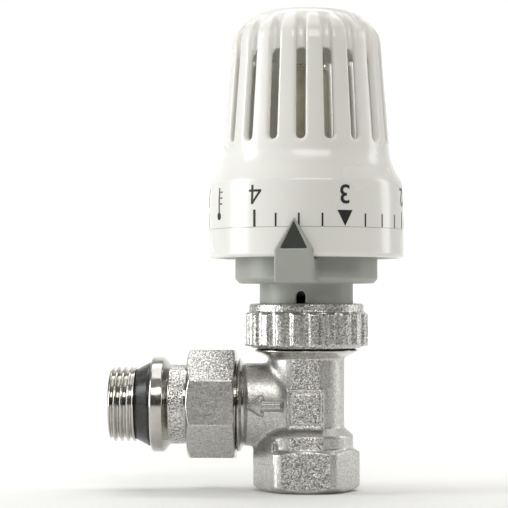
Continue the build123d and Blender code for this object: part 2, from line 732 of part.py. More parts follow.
# ---- base of the head: neck, cup, catch tube, guide tube with its ribs, and the pointer ----
with BuildPart() as head_base:
    turned(
        [
            (NECK_BORE_R, BODY_TOP + SEATED),
            (NECK_R, BODY_TOP + SEATED),
            (NECK_R, NECK_RING_Z - RING_WIRE_R - SEATED),
            (NECK_R - RING_WIRE_R - SEATED, NECK_RING_Z - RING_WIRE_R - SEATED),
            (NECK_R - RING_WIRE_R - SEATED, NECK_RING_Z + RING_WIRE_R + SEATED),
            (NECK_R, NECK_RING_Z + RING_WIRE_R + SEATED),
            (NECK_R, BASE_BOTTOM),
            (BASE_R - BASE_EDGE, BASE_BOTTOM),
            (BASE_R, BASE_BOTTOM + BASE_EDGE),
            (BASE_R, BASE_RIM_TOP),
            (BASE_RIM_R, BASE_RIM_TOP),
            (BASE_RIM_R, BASE_FLOOR_TOP),
            (CATCH_TUBE_R, BASE_FLOOR_TOP),
            (CATCH_TUBE_R, CATCH_TUBE_TOP),
            (CATCH_TUBE_BORE_R, CATCH_TUBE_TOP),
            (CATCH_TUBE_BORE_R, CATCH_RING_Z + RING_WIRE_R + SEATED),
            (CATCH_TUBE_BORE_R + RING_WIRE_R + SEATED, CATCH_RING_Z + RING_WIRE_R + SEATED),
            (CATCH_TUBE_BORE_R + RING_WIRE_R + SEATED, CATCH_RING_Z - RING_WIRE_R - SEATED),
            (CATCH_TUBE_BORE_R, CATCH_RING_Z - RING_WIRE_R - SEATED),
            (CATCH_TUBE_BORE_R, BASE_FLOOR_TOP),
            (GUIDE_TUBE_R, BASE_FLOOR_TOP),
            (GUIDE_TUBE_R, GUIDE_TUBE_TOP),
            (GUIDE_TUBE_BORE_R, GUIDE_TUBE_TOP),
            (GUIDE_TUBE_BORE_R, ROD_GUIDE_TOP),
            (ROD_R + FIT, ROD_GUIDE_TOP),
            (ROD_R + FIT, BASE_BOTTOM),
            (NECK_BORE_R, BASE_BOTTOM),
        ]
    )
    # ribs that stop the carrier from turning
    with BuildSketch(Plane.XY.offset(GUIDE_RIB_BOTTOM)) as guide_ribs:
        with PolarLocations((GUIDE_TUBE_R + GUIDE_RIB_R) / 2 - SEATED, GUIDE_RIBS):
            Rectangle(GUIDE_RIB_R - GUIDE_TUBE_R + 2 * SEATED, GUIDE_RIB_WIDTH)
    extrude(guide_ribs.sketch, amount=GUIDE_TUBE_TOP - GUIDE_RIB_BOTTOM)
    # pointer: shelf under the skirt, then a house-shaped tongue in front of it
    with BuildSketch(POINTER_PLANE) as shelf:
        with Locations((0, (BASE_BOTTOM + POINTER_SHELF_TOP) / 2)):
            Rectangle(POINTER_WIDTH, POINTER_SHELF_TOP - BASE_BOTTOM)
    extrude(shelf.sketch, amount=-(POINTER_OUTER_R - BASE_RIM_R))
    with BuildSketch(POINTER_PLANE) as tongue:
        with BuildLine():
            Polyline(
                *tongue_outline(POINTER_WIDTH, BASE_BOTTOM, POINTER_SHOULDER_Z, POINTER_TIP_Z), close=True
            )
        make_face()
    extrude(tongue.sketch, amount=-(POINTER_OUTER_R - POINTER_INNER_R))
    with BuildSketch(POINTER_PLANE) as mark_pocket:
        with BuildLine():
            Polyline(*tongue_outline(MARK_WIDTH, MARK_BOTTOM, MARK_BOTTOM, MARK_TOP)[1:4], close=True)
        make_face()
    extrude(mark_pocket.sketch, amount=-MARK_DEPTH, mode=Mode.SUBTRACT)
    # arched hole in the neck under the pointer, for a locking pin
    with BuildSketch(NECK_PLANE) as key_slot:
        with BuildLine():
            Polyline(
                (-KEY_SLOT_WIDTH / 2, KEY_SLOT_ARCH),
                (-KEY_SLOT_WIDTH / 2, KEY_SLOT_BOTTOM),
                (KEY_SLOT_WIDTH / 2, KEY_SLOT_BOTTOM),
                (KEY_SLOT_WIDTH / 2, KEY_SLOT_ARCH),
            )
            ThreePointArc(
                (-KEY_SLOT_WIDTH / 2, KEY_SLOT_ARCH), (0, KEY_SLOT_TOP), (KEY_SLOT_WIDTH / 2, KEY_SLOT_ARCH)
            )
        make_face()
    extrude(key_slot.sketch, amount=-2 * (NECK_R - NECK_BORE_R), mode=Mode.SUBTRACT)
head_base.part.label = "head_base"
export_step(head_base.part, "parts/head_base.step")

# ---- dark triangle let into the pointer ----
with BuildPart() as pointer_mark:
    with BuildSketch(POINTER_PLANE.offset(-MARK_DEPTH + SEATED)) as mark:
        with BuildLine():
            Polyline(
                *tongue_outline(
                    MARK_WIDTH - 4 * SEATED,
                    MARK_BOTTOM + SEATED,
                    MARK_BOTTOM + SEATED,
                    MARK_TOP - 3 * SEATED,
                )[1:4],
                close=True,
            )
        make_face()
    extrude(mark.sketch, amount=MARK_DEPTH - 2 * SEATED)
pointer_mark.part.label = "pointer_mark"
export_step(pointer_mark.part, "parts/pointer_mark.step")

# ---- wire ring that keeps the handwheel on the base ----
with BuildPart() as handwheel_catch_ring:
    wire_ring(CATCH_TUBE_BORE_R, RING_WIRE_R, CATCH_RING_Z, opening=RING_OPENING)
handwheel_catch_ring.part.label = "handwheel_catch_ring"
export_step(handwheel_catch_ring.part, "parts/handwheel_catch_ring.step")

# ---- slotted handwheel ----
with BuildPart() as handwheel:
    with BuildSketch(Plane.XZ) as wheel_outside:
        with BuildLine():
            Polyline(
                (0, WHEEL_TOP),
                (0, SKIRT_BOTTOM),
                (SKIRT_R - SKIRT_EDGE, SKIRT_BOTTOM),
                (SKIRT_R, SKIRT_BOTTOM + SKIRT_EDGE),
                (SKIRT_TOP_R, SKIRT_TOP),
            )
            Spline(
                (SKIRT_TOP_R, SKIRT_TOP), FLARE_MIDDLE, (GRIP_R, GRIP_BOTTOM), tangents=[(0, 1), GRIP_SLOPE]
            )
            Line((GRIP_R, GRIP_BOTTOM), (GRIP_TOP_R, GRIP_TOP))
            Spline((GRIP_TOP_R, GRIP_TOP), *DOME, (0, WHEEL_TOP), tangents=[GRIP_SLOPE, (-1, 0)])
        make_face()
    revolve(wheel_outside.sketch, axis=Axis.Z)
    # slots: windows through the grip's wall, and grooves over the shoulder above them
    for slot in range(SLOTS):
        slot_plane = facing(SLOT_FIRST_ANGLE + slot * 360 / SLOTS, GROOVE_END_R)
        with BuildSketch(slot_plane) as slot_face:
            with Locations((0, (SLOT_BOTTOM + WHEEL_TOP) / 2 + SLOT_WIDTH)):
                SlotOverall(WHEEL_TOP - SLOT_BOTTOM + 2 * SLOT_WIDTH, SLOT_WIDTH, rotation=90)
        extrude(slot_face.sketch, amount=SKIRT_R - GROOVE_END_R, mode=Mode.SUBTRACT)
    # crown under the grooves
    with BuildSketch(Plane.XZ) as crown:
        with BuildLine():
            Polyline((0, CROWN_TOP), (0, SLOT_TOP), (CROWN_R, SLOT_TOP))
            Spline((CROWN_R, SLOT_TOP), *CROWN, (0, CROWN_TOP), tangents=[GRIP_SLOPE, (-1, 0)])
        make_face()
    revolve(crown.sketch, axis=Axis.Z)
    # hollow inside
    with BuildSketch(Plane.XZ) as wheel_inside:
        with BuildLine():
            Polyline(
                (0, HOLLOW_TOP),
                (0, SKIRT_BOTTOM),
                (SKIRT_R - WALL, SKIRT_BOTTOM),
                (SKIRT_R - WALL, SKIRT_TOP),
            )
            Spline(
                (SKIRT_R - WALL, SKIRT_TOP),
                (FLARE_MIDDLE[0] - WALL, FLARE_MIDDLE[1]),
                (GRIP_R - WALL, GRIP_BOTTOM),
                tangents=[(0, 1), GRIP_SLOPE],
            )
            Polyline(
                (GRIP_R - WALL, GRIP_BOTTOM),
                (GRIP_TOP_R - WALL, SLOT_TOP - 2),
                (CROWN_R - WALL, SLOT_TOP),
                (CROWN_R - 2 * WALL, SLOT_TOP + 2 * WALL),
                (0, HOLLOW_TOP),
            )
        make_face()
    revolve(wheel_inside.sketch, axis=Axis.Z, mode=Mode.SUBTRACT)
    # web and the sleeve whose thread drives the carrier
    turned(
        [
            (SLEEVE_BORE_R, SLEEVE_BOTTOM),
            (SLEEVE_R, SLEEVE_BOTTOM),
            (SLEEVE_R, CATCH_RING_Z - RING_WIRE_R - GAP),
            (CATCH_TUBE_BORE_R - RING_WIRE_R - GAP, CATCH_RING_Z - RING_WIRE_R - GAP),
            (CATCH_TUBE_BORE_R - RING_WIRE_R - GAP, CATCH_RING_Z + RING_WIRE_R + GAP),
            (SLEEVE_R, CATCH_RING_Z + RING_WIRE_R + GAP),
            (SLEEVE_R, WEB_BOTTOM),
            (GRIP_R - WALL / 2, WEB_BOTTOM),
            (GRIP_R - WALL / 2, WEB_TOP),
            (SLEEVE_BORE_R, WEB_TOP),
        ]
    )
handwheel.part.label = "handwheel"
export_step(handwheel.part, "parts/handwheel.step")

# ---- carrier: threaded in the handwheel's sleeve, keyed to the base, holds the sensor ----
with BuildPart() as sensor_carrier:
    turned(
        [
            (CARRIER_BORE_R, CARRIER_BOTTOM),
            (SLEEVE_BORE_R - FIT, CARRIER_BOTTOM),
            (SLEEVE_BORE_R - FIT, CARRIER_TOP),
            (SENSOR_NECK_R + SEATED, CARRIER_TOP),
            (SENSOR_NECK_R + SEATED, CARRIER_FLOOR),
            (CARRIER_BORE_R, CARRIER_FLOOR),
        ]
    )
    with BuildSketch(Plane.XY.offset(CARRIER_BOTTOM)) as keyways:
        with PolarLocations(GUIDE_RIB_R / 2 + GAP / 2, GUIDE_RIBS):
            Rectangle(GUIDE_RIB_R + GAP, GUIDE_RIB_WIDTH + 2 * GAP)
    extrude(keyways.sketch, amount=CARRIER_FLOOR - CARRIER_BOTTOM, mode=Mode.SUBTRACT)
sensor_carrier.part.label = "sensor_carrier"
export_step(sensor_carrier.part, "parts/sensor_carrier.step")

# ---- sensor: liquid-filled capsule ----
with BuildPart() as sensor:
    turned(
        [
            (PIN_R + FIT, CARRIER_FLOOR),
            (SENSOR_NECK_R, CARRIER_FLOOR),
            (SENSOR_NECK_R, SENSOR_BOTTOM),
            (SENSOR_R + SENSOR_BAND, SENSOR_BOTTOM),
            (SENSOR_R + SENSOR_BAND, SENSOR_BOTTOM + SENSOR_BAND_HEIGHT),
            (SENSOR_R, SENSOR_BOTTOM + SENSOR_BAND_HEIGHT),
            (SENSOR_R, SENSOR_TOP - SENSOR_RIM),
            (SENSOR_R + SENSOR_BAND, SENSOR_TOP - SENSOR_RIM),
            (SENSOR_R + SENSOR_BAND, SENSOR_TOP),
            (SENSOR_R - SENSOR_RIM, SENSOR_TOP),
            (SENSOR_R - SENSOR_RIM, SENSOR_TOP - SENSOR_RIM),
            (0, SENSOR_TOP - SENSOR_RIM),
            (0, PIN_TOP + GAP + SENSOR_RIM),
            (PIN_R + FIT, PIN_TOP + GAP + SENSOR_RIM),
        ]
    )
sensor.part.label = "sensor"
export_step(sensor.part, "parts/sensor.step")

# ---- pin that the sensor pushes out ----
with BuildPart() as sensor_pin:
    turned(
        [
            (0, PIN_BOTTOM),
            (PIN_R, PIN_BOTTOM),
            (PIN_R, PIN_TOP - EDGE),
            (PIN_R - EDGE, PIN_TOP),
            (0, PIN_TOP),
        ]
    )
sensor_pin.part.label = "sensor_pin"
export_step(sensor_pin.part, "parts/sensor_pin.step")

# ---- cup round the overtravel spring ----
with BuildPart() as spring_cup:
    turned(
        [
            (0, CUP_TOP),
            (CUP_R, CUP_TOP),
            (CUP_R, CUP_BOTTOM),
            (CUP_LIP_R, CUP_BOTTOM),
            (CUP_LIP_R, CUP_BOTTOM + CUP_WALL),
            (CUP_R - CUP_WALL, CUP_BOTTOM + CUP_WALL),
            (CUP_R - CUP_WALL, CUP_TOP - CUP_WALL),
            (0, CUP_TOP - CUP_WALL),
        ]
    )
spring_cup.part.label = "spring_cup"
export_step(spring_cup.part, "parts/spring_cup.step")

# ---- overtravel spring: gives way if the sensor expands after the valve has closed ----
with BuildPart() as overtravel_spring:
    spring_turns(
        OVERTRAVEL_MEAN_R,
        OVERTRAVEL_WIRE_R,
        ROD_FLANGE_TOP + SEATED,
        CUP_TOP - CUP_WALL - SEATED,
        OVERTRAVEL_TURNS,
    )
overtravel_spring.part.label = "overtravel_spring"
export_step(overtravel_spring.part, "parts/overtravel_spring.step")

# ---- push rod between the cup and the spindle ----
with BuildPart() as push_rod:
    turned(
        [
            (0, SPINDLE_TOP + SEATED),
            (ROD_R - EDGE, SPINDLE_TOP + SEATED),
            (ROD_R, SPINDLE_TOP + SEATED + EDGE),
            (ROD_R, ROD_FLANGE_BOTTOM),
            (ROD_FLANGE_R, ROD_FLANGE_BOTTOM),
            (ROD_FLANGE_R, ROD_FLANGE_TOP),
            (0, ROD_FLANGE_TOP),
        ]
    )
push_rod.part.label = "push_rod"
export_step(push_rod.part, "parts/push_rod.step")
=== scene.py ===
"""Thermostatic radiator valve: the look of every visible piece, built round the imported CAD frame."""

import json
import math

import bmesh
import bpy
import numpy as np
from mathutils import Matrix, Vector


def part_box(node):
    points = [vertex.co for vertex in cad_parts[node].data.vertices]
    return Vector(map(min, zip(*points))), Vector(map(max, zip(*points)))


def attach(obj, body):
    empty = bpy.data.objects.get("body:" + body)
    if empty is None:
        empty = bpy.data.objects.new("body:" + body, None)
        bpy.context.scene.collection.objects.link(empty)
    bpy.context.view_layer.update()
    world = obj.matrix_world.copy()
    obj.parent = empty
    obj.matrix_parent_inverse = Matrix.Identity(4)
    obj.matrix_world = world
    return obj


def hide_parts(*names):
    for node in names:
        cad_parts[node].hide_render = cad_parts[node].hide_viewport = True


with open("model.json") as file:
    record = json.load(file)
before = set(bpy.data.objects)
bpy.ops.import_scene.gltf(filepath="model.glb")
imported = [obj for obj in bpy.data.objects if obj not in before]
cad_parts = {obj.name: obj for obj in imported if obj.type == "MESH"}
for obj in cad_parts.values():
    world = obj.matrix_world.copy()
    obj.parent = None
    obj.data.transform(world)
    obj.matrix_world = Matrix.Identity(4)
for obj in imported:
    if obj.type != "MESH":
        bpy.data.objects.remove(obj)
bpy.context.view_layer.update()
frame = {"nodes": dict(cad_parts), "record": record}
MM = 0.001


# ------------------------------------------------------------------ places, in millimetres, from the frame

X, Y, Z = range(3)


def box_mm(node):
    """Lowest and highest corners of a CAD node."""
    low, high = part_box(node)
    return low / MM, high / MM


def span_mm(node, axis):
    """Where a CAD node starts and ends along an axis, to the nearest hundredth."""
    low, high = box_mm(node)
    return round(low[axis], 2), round(high[axis], 2)


TAIL_LOW, TAIL_HIGH = box_mm("tailpiece")
BRANCH_Z = (TAIL_LOW.z + TAIL_HIGH.z) / 2
BRANCH_END_X, SOCKET_CORNER_R = span_mm("valve_body", X)
BODY_TOP = span_mm("valve_body", Z)[1]
NUT_LEFT_X, NUT_RIGHT_X = span_mm("union_nut", X)
TAIL_END_X, TAIL_NOSE_X = span_mm("tailpiece", X)
SEAL_LEFT_X, SEAL_RIGHT_X = span_mm("tail_seal", X)
SEAL_WIDE_R = span_mm("tail_seal", Y)[1]
KNURL_BOTTOM, KNURL_TOP = span_mm("head_nut", Z)
BASE_R = span_mm("head_base", X)[1]
NECK_BOTTOM, GUIDE_TOP = span_mm("head_base", Z)
SKIRT_R = span_mm("handwheel", X)[1]
WHEEL_BOTTOM, WHEEL_TOP = span_mm("handwheel", Z)
SENSOR_TOP = span_mm("sensor", Z)[1]

# G1/2 pipe thread: major radius, minor radius and pitch
G_HALF_MAJOR_R, G_HALF_MINOR_R, G_HALF_PITCH = 10.48, 9.32, 1.814


# ------------------------------------------------------------------ distance fields

def soft_max(a, b, blend):
    """Greater of two fields, with the corner between them rounded."""
    near = np.maximum(blend - np.abs(a - b), 0) / blend
    return np.maximum(a, b) + near * near * blend / 4


def soft_min(a, b, blend):
    return -soft_max(-a, -b, blend)


def outline_distance(outline, x, y):
    """Signed distance from points to a closed outline, negative inside it."""
    nearest = np.full(x.shape, np.inf)
    inside = np.zeros(x.shape, bool)
    for (x0, y0), (x1, y1) in zip(outline, outline[1:] + outline[:1]):
        dx, dy = x1 - x0, y1 - y0
        along = np.clip(((x - x0) * dx + (y - y0) * dy) / (dx * dx + dy * dy + 1e-12), 0, 1)
        nearest = np.minimum(nearest, (x - x0 - along * dx) ** 2 + (y - y0 - along * dy) ** 2)
        if dy:
            inside ^= ((y0 > y) != (y1 > y)) & (x < x0 + (y - y0) * dx / dy)
    return np.where(inside, -1, 1) * np.sqrt(nearest)


class Lathe:
    """Field of a solid of revolution from a closed outline of (radius, along) points, its corners softened.
    An outline that meets the axis starts and ends on it."""

    STEP = 0.1
    MARGIN = 2.0

    def __init__(self, outline, soft=0.2):
        points = np.array(outline, float)
        whole = list(outline)
        if outline[0][0] == 0:
            whole += [(-r, along) for r, along in reversed(outline[1:-1])]
        self.low = points[:, 1].min() - self.MARGIN
        rows = int((points[:, 0].max() + self.MARGIN) / self.STEP) + 2
        columns = int((points[:, 1].max() + self.MARGIN - self.low) / self.STEP) + 2
        spare = int(self.MARGIN / self.STEP)
        r = self.STEP * np.arange(-spare, rows)[:, None]
        along = self.low + self.STEP * np.arange(columns)[None, :]
        r, along = np.broadcast_arrays(r, along)
        table = outline_distance(whole, r if outline[0][0] == 0 else np.abs(r), along)
        reach = round(soft / self.STEP)
        for _ in range(2 if reach else 0):
            for axis in (0, 1):
                padded = np.pad(table, [(reach, reach) if a == axis else (0, 0) for a in (0, 1)], mode="edge")
                table = sum(
                    np.take(padded, range(k, k + table.shape[axis]), axis=axis) for k in range(2 * reach + 1)
                ) / (2 * reach + 1)
        self.table = table[spare:]

    def __call__(self, r, along):
        rows, columns = self.table.shape
        u = r / self.STEP
        v = (along - self.low) / self.STEP
        i = np.clip(u.astype(int), 0, rows - 2)
        j = np.clip(v.astype(int), 0, columns - 2)
        a = np.clip(u - i, 0, 1)
        b = np.clip(v - j, 0, 1)
        t = self.table
        value = (t[i, j] * (1 - a) + t[i + 1, j] * a) * (1 - b)
        value += (t[i, j + 1] * (1 - a) + t[i + 1, j + 1] * a) * b
        return value + np.hypot(u - i - a, v - j - b) * self.STEP


def hexagon(a, b, across_flats):
    """Field of a hexagonal bar along the third axis, with two of its flats square to the second one."""
    reach = [np.abs(a * math.cos(turn) + b * math.sin(turn)) for turn in np.radians((30, 90, 150))]
    return np.max(reach, axis=0) - across_flats / 2


def from_nearest(angle, count):
    """Angle from the nearest of so many equally spaced directions."""
    step = 2 * math.pi / count
    return (angle + step / 2) % step - step / 2


def lines(*stretches):
    """Grid lines from (end, spacing) stretches that follow the first number, the start."""
    places = [stretches[0]]
    for end, spacing in stretches[1:]:
        count = max(1, round((end - places[-1]) / spacing))
        places += list(np.linspace(places[-1], end, count + 1)[1:])
    return np.array(places)


def about_z(angle, r, along):
    return r * np.sin(angle), -r * np.cos(angle), along


def about_branch(angle, r, along):
    return along, r * np.sin(angle), BRANCH_Z + r * np.cos(angle)


def straight(x, y, z):
    return x, y, z


def contour(field, grid, place, copies=0):
    """Vertices and quads of the surface field = 0. grid holds the node lines of the three axes, and place
    maps them to x, y, z. With copies, the first axis is an angle whose span repeats round the axis."""
    first, second, third = grid
    corners = np.meshgrid(first, second, third, indexing="ij")
    values = field(*place(*corners))
    if copies:
        values = np.concatenate([values, values[:1]])
        first = np.append(first, first[0] + 2 * math.pi / copies)
    axes = (first, second, third)
    inside = values < 0
    cells = tuple(n - 1 for n in values.shape)
    count = np.zeros(cells, np.int8)
    for i in (0, 1):
        for j in (0, 1):
            for k in (0, 1):
                count += inside[i:cells[0] + i, j:cells[1] + j, k:cells[2] + k]
    active = np.argwhere((count > 0) & (count < 8))
    number = np.full(cells, -1)
    number[tuple(active.T)] = np.arange(len(active))

    # each cell's vertex starts at the mean of the crossings on the cell's edges
    total = np.zeros((len(active), 3))
    crossings = np.zeros(len(active))
    for axis in range(3):
        step = np.eye(3, dtype=int)[axis]
        sides = [a for a in range(3) if a != axis]
        for p in (0, 1):
            for q in (0, 1):
                start = np.zeros(3, int)
                start[sides[0]], start[sides[1]] = p, q
                here = values[tuple((active + start).T)]
                there = values[tuple((active + start + step).T)]
                cut = (here < 0) != (there < 0)
                share = np.where(cut, here / np.where(cut, here - there, 1), 0)
                total += cut[:, None] * (start + share[:, None] * step)
                crossings += cut
    share = total / crossings[:, None]
    spots = []
    for axis, nodes in enumerate(axes):
        low, high = nodes[active[:, axis]], nodes[active[:, axis] + 1]
        spots.append(low + share[:, axis] * (high - low))

    # then it moves onto the surface
    points = np.stack(place(*spots), 1)
    probe, least_slope, longest_move = 0.02, 0.2, 0.15
    for _ in range(4):
        value = field(*points.T)
        rises = [field(*(points + step).T) - field(*(points - step).T) for step in probe * np.eye(3)]
        slope = np.stack([rise / 2 / probe for rise in rises], 1)
        move = value / np.maximum((slope * slope).sum(1), least_slope)
        points -= slope * np.clip(move, -longest_move, longest_move)[:, None]

    # quads cross every grid edge that the surface cuts
    quads = []
    for axis in range(3):
        u, v = (axis + 1) % 3, (axis + 2) % 3
        low = [slice(None)] * 3
        high = [slice(None)] * 3
        low[axis], high[axis] = slice(0, -1), slice(1, None)
        cut = np.argwhere(inside[tuple(low)] != inside[tuple(high)])
        outward = inside[tuple(low)][tuple(cut.T)]
        around = []
        for du, dv in ((1, 1), (0, 1), (0, 0), (1, 0)):
            cell = cut.copy()
            cell[:, u] -= du
            cell[:, v] -= dv
            around.append(cell)
        keep = np.ones(len(cut), bool)
        for cell in around:
            for a in range(3):
                if not (copies and a == 0):
                    keep &= (cell[:, a] >= 0) & (cell[:, a] < cells[a])
        if copies and axis:
            keep &= cut[:, 0] < cells[0]
        columns = []
        for cell in around:
            cell = cell[keep]
            turn = np.floor_divide(cell[:, 0], cells[0]) if copies else np.zeros(len(cell), int)
            inner = cell.copy()
            inner[:, 0] -= turn * cells[0]
            columns.append(number[tuple(inner.T)] + turn * len(points))
        quad = np.stack(columns, 1)
        quad[~outward[keep]] = quad[~outward[keep]][:, ::-1]
        quads.append(quad)
    quads = np.concatenate(quads)

    if copies:
        sector = len(points)
        x, y, z = points.T
        whole, faces = [], []
        for copy in range(copies):
            angle = copy * 2 * math.pi / copies
            whole.append(np.stack(turned_about(place, angle, x, y, z), 1))
            faces.append((quads + copy * sector) % (copies * sector))
        points, quads = np.concatenate(whole), np.concatenate(faces)

    a, b, c, d = (points[quads[:, n]] for n in range(4))
    if (np.cross(a, b) * c + np.cross(a, c) * d).sum() < 0:
        quads = quads[:, ::-1]
    return points, quads


def turned_about(place, angle, x, y, z):
    """Points turned by an angle about the axis of place, in its own sense."""
    c, s = math.cos(angle), math.sin(angle)
    if place is about_z:
        return x * c - y * s, x * s + y * c, z
    up = z - BRANCH_Z
    return x, y * c + up * s, BRANCH_Z + up * c - y * s


def round_z(lathe):
    """Field of a lathe's solid about the spindle."""
    return lambda x, y, z: lathe(np.hypot(x, y), z)


def round_branch(lathe):
    """Field of a lathe's solid about the branch."""
    return lambda x, y, z: lathe(np.hypot(y, z - BRANCH_Z), x)


# ------------------------------------------------------------------ meshes

def shown(name, points, faces, materials, body, node):
    """A smooth-shaded object in metres that rides on a body and stands for a CAD node."""
    mesh = bpy.data.meshes.new(name)
    mesh.from_pydata((np.asarray(points) * MM).tolist(), [], np.asarray(faces).tolist())
    mesh.validate()
    piece = bpy.data.objects.new(name, mesh)
    bpy.context.scene.collection.objects.link(piece)
    for material in materials:
        mesh.materials.append(material)
    edit = bmesh.new()
    edit.from_mesh(mesh)
    rims = [e for e in edit.edges if e.is_boundary]
    if rims:
        bmesh.ops.holes_fill(edit, edges=rims, sides=0)
    for face in edit.faces:
        face.smooth = True
    edit.to_mesh(mesh)
    edit.free()
    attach(piece, body)
    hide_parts(node)
    return piece


def paint(piece, rule):
    """Gives each face the material number that rule says for its centre and normal, in millimetres."""
    mesh = piece.data
    count = len(mesh.polygons)
    centres, normals = np.empty(count * 3), np.empty(count * 3)
    mesh.polygons.foreach_get("center", centres)
    mesh.polygons.foreach_get("normal", normals)
    numbers = rule(*(centres.reshape(-1, 3).T / MM), *normals.reshape(-1, 3).T)
    mesh.polygons.foreach_set("material_index", numbers.astype(np.int32))


# ------------------------------------------------------------------ materials

class Nodes:
    """A Principled material being built."""

    def __init__(self, name, **settings):
        self.material = bpy.data.materials.new(name)
        self.material.use_nodes = True
        self.tree = self.material.node_tree
        self.shader = self.tree.nodes["Principled BSDF"]
        for key, value in settings.items():
            self.shader.inputs[key.replace("_", " ")].default_value = value
        self.place = self.tree.nodes.new("ShaderNodeTexCoord").outputs["Object"]

    def add(self, kind, **values):
        node = self.tree.nodes.new(kind)
        for key, value in values.items():
            if key in node.inputs:
                node.inputs[key].default_value = value
            else:
                setattr(node, key, value)
        return node

    def link(self, source, target):
        self.tree.links.new(source, target)

    def stretched(self, scale):
        """The object's coordinates, scaled along each axis."""
        mapping = self.add("ShaderNodeMapping")
        mapping.inputs["Scale"].default_value = scale
        self.link(self.place, mapping.inputs["Vector"])
        return mapping.outputs["Vector"]

    def noise(self, size_mm, detail=2.0, stretch=(1, 1, 1), rough=0.5):
        node = self.add("ShaderNodeTexNoise", Scale=1 / (size_mm * MM), Detail=detail, Roughness=rough)
        self.link(self.stretched(stretch), node.inputs["Vector"])
        return node.outputs["Fac"]

    def cells(self, size_mm):
        node = self.add("ShaderNodeTexVoronoi", Scale=1 / (size_mm * MM))
        self.link(self.place, node.inputs["Vector"])
        return node.outputs["Distance"]

    def ramp(self, source, *stops):
        """Colour ramp from (position, colour) stops."""
        node = self.add("ShaderNodeValToRGB")
        elements = node.color_ramp.elements
        while len(elements) < len(stops):
            elements.new(0.5)
        for element, (position, colour) in zip(elements, stops):
            element.position = position
            element.color = (*colour, 1) if isinstance(colour, tuple) else (colour, colour, colour, 1)
        self.link(source, node.inputs["Fac"])
        return node.outputs["Color"]

    def colour(self, source, *stops):
        self.link(self.ramp(source, *stops), self.shader.inputs["Base Color"])

    def roughness(self, source, low, high):
        self.link(self.ramp(source, (0.3, low), (0.7, high)), self.shader.inputs["Roughness"])

    def bump(self, *layers):
        """Bumps laid one on another, from (height, depth in mm) pairs."""
        normal = None
        for height, depth_mm in layers:
            node = self.add("ShaderNodeBump", Strength=1.0, Distance=depth_mm * MM)
            self.link(height, node.inputs["Height"])
            if normal is not None:
                self.link(normal, node.inputs["Normal"])
            normal = node.outputs["Normal"]
        self.link(normal, self.shader.inputs["Normal"])


def nickel(name, low, high, grain_mm=0.0, grain_depth=0.0, speck=0.0, lathe=(1, 1, 1), lathe_depth=0.0):
    """Nickel plate: faint warm staining, uneven polish, and either a forged grain or lathe marks."""
    m = Nodes(name, Metallic=1.0)
    if speck:
        dim = 0.56 - 0.34 * speck
        lit = 0.56 + 0.3 * speck
        m.colour(
            m.noise(grain_mm * 1.25, 2, rough=0.65),
            (0.36, (dim, dim * 0.98, dim * 0.93)),
            (0.5, (0.56, 0.55, 0.52)),
            (0.62, (lit, lit, lit * 0.98)),
        )
    else:
        m.colour(
            m.noise(6, 3),
            (0.3, (0.47, 0.455, 0.415)),
            (0.55, (0.57, 0.56, 0.535)),
            (0.75, (0.63, 0.62, 0.60)),
        )
    m.roughness(m.noise(1.5, 4), low, high)
    layers = [(m.noise(2.5, 2), 0.02)]
    if grain_depth:
        layers.append((m.noise(grain_mm, 3, rough=0.6), grain_depth))
        layers.append((m.cells(grain_mm * 1.6), grain_depth * 0.6))
    if lathe_depth:
        layers.append((m.noise(0.5, 2, lathe), lathe_depth))
    m.bump(*layers)
    return m.material


def plastic(name, dark, light, low, high, grain_mm=0.5, grain_depth=0.002, coat=0.0):
    """Moulded plastic: slight shade changes, a fine surface grain and the soft waviness of the mould."""
    m = Nodes(name, Coat_Weight=coat, Coat_Roughness=0.08)
    m.shader.inputs["Subsurface Weight"].default_value = 0.06
    m.shader.inputs["Subsurface Scale"].default_value = 0.002
    m.colour(m.noise(30, 2), (0.15, dark), (0.85, light))
    m.roughness(m.noise(16, 2), low, high)
    m.bump((m.noise(30, 1), 0.04), (m.noise(grain_mm, 2), grain_depth))
    return m.material


def metal(name, dark, light, low, high, stretch=(1, 1, 1), depth=0.004):
    """Plain machined or drawn metal."""
    m = Nodes(name, Metallic=1.0)
    m.colour(m.noise(3, 3), (0.3, dark), (0.7, light))
    m.roughness(m.noise(1, 3), low, high)
    m.bump((m.noise(0.6, 2, stretch), depth))
    return m.material


def rubber(name):
    """Dull black rubber with a slight skin."""
    m = Nodes(name, Coat_Weight=0.25, Coat_Roughness=0.2)
    m.colour(m.noise(2, 3), (0.3, (0.009, 0.009, 0.009)), (0.7, (0.02, 0.02, 0.019)))
    m.roughness(m.noise(1.2, 3), 0.22, 0.4)
    m.bump((m.noise(0.35, 2), 0.004), (m.noise(3, 1), 0.03))
    return m.material


NICKEL_FORGED = nickel("nickel_forged", grain_mm=0.35, grain_depth=0.06, low=0.27, high=0.40, speck=0.45)
NICKEL_KNURLED = nickel("nickel_knurled", grain_mm=0.38, grain_depth=0.1, low=0.2, high=0.34, speck=0.75)
NICKEL_GRAINY = nickel("nickel_grainy", grain_mm=0.42, grain_depth=0.16, low=0.16, high=0.28, speck=1.0)
NICKEL_TURNED = nickel("nickel_turned", low=0.08, high=0.2, lathe=(0.3, 0.3, 6), lathe_depth=0.004)
NICKEL_BRANCH = nickel("nickel_branch_turned", low=0.08, high=0.2, lathe=(6, 0.3, 0.3), lathe_depth=0.004)
WHITE = plastic("white_plastic", (0.755, 0.75, 0.71), (0.79, 0.785, 0.745), 0.22, 0.28, coat=0.25)
GREY = plastic("grey_plastic", (0.32, 0.33, 0.30), (0.36, 0.37, 0.335), 0.36, 0.5)
DARK = plastic("dark_plastic", (0.02, 0.024, 0.018), (0.032, 0.037, 0.028), 0.4, 0.55)
PRINT = plastic("black_print", (0.012, 0.013, 0.014), (0.022, 0.023, 0.025), 0.3, 0.42)
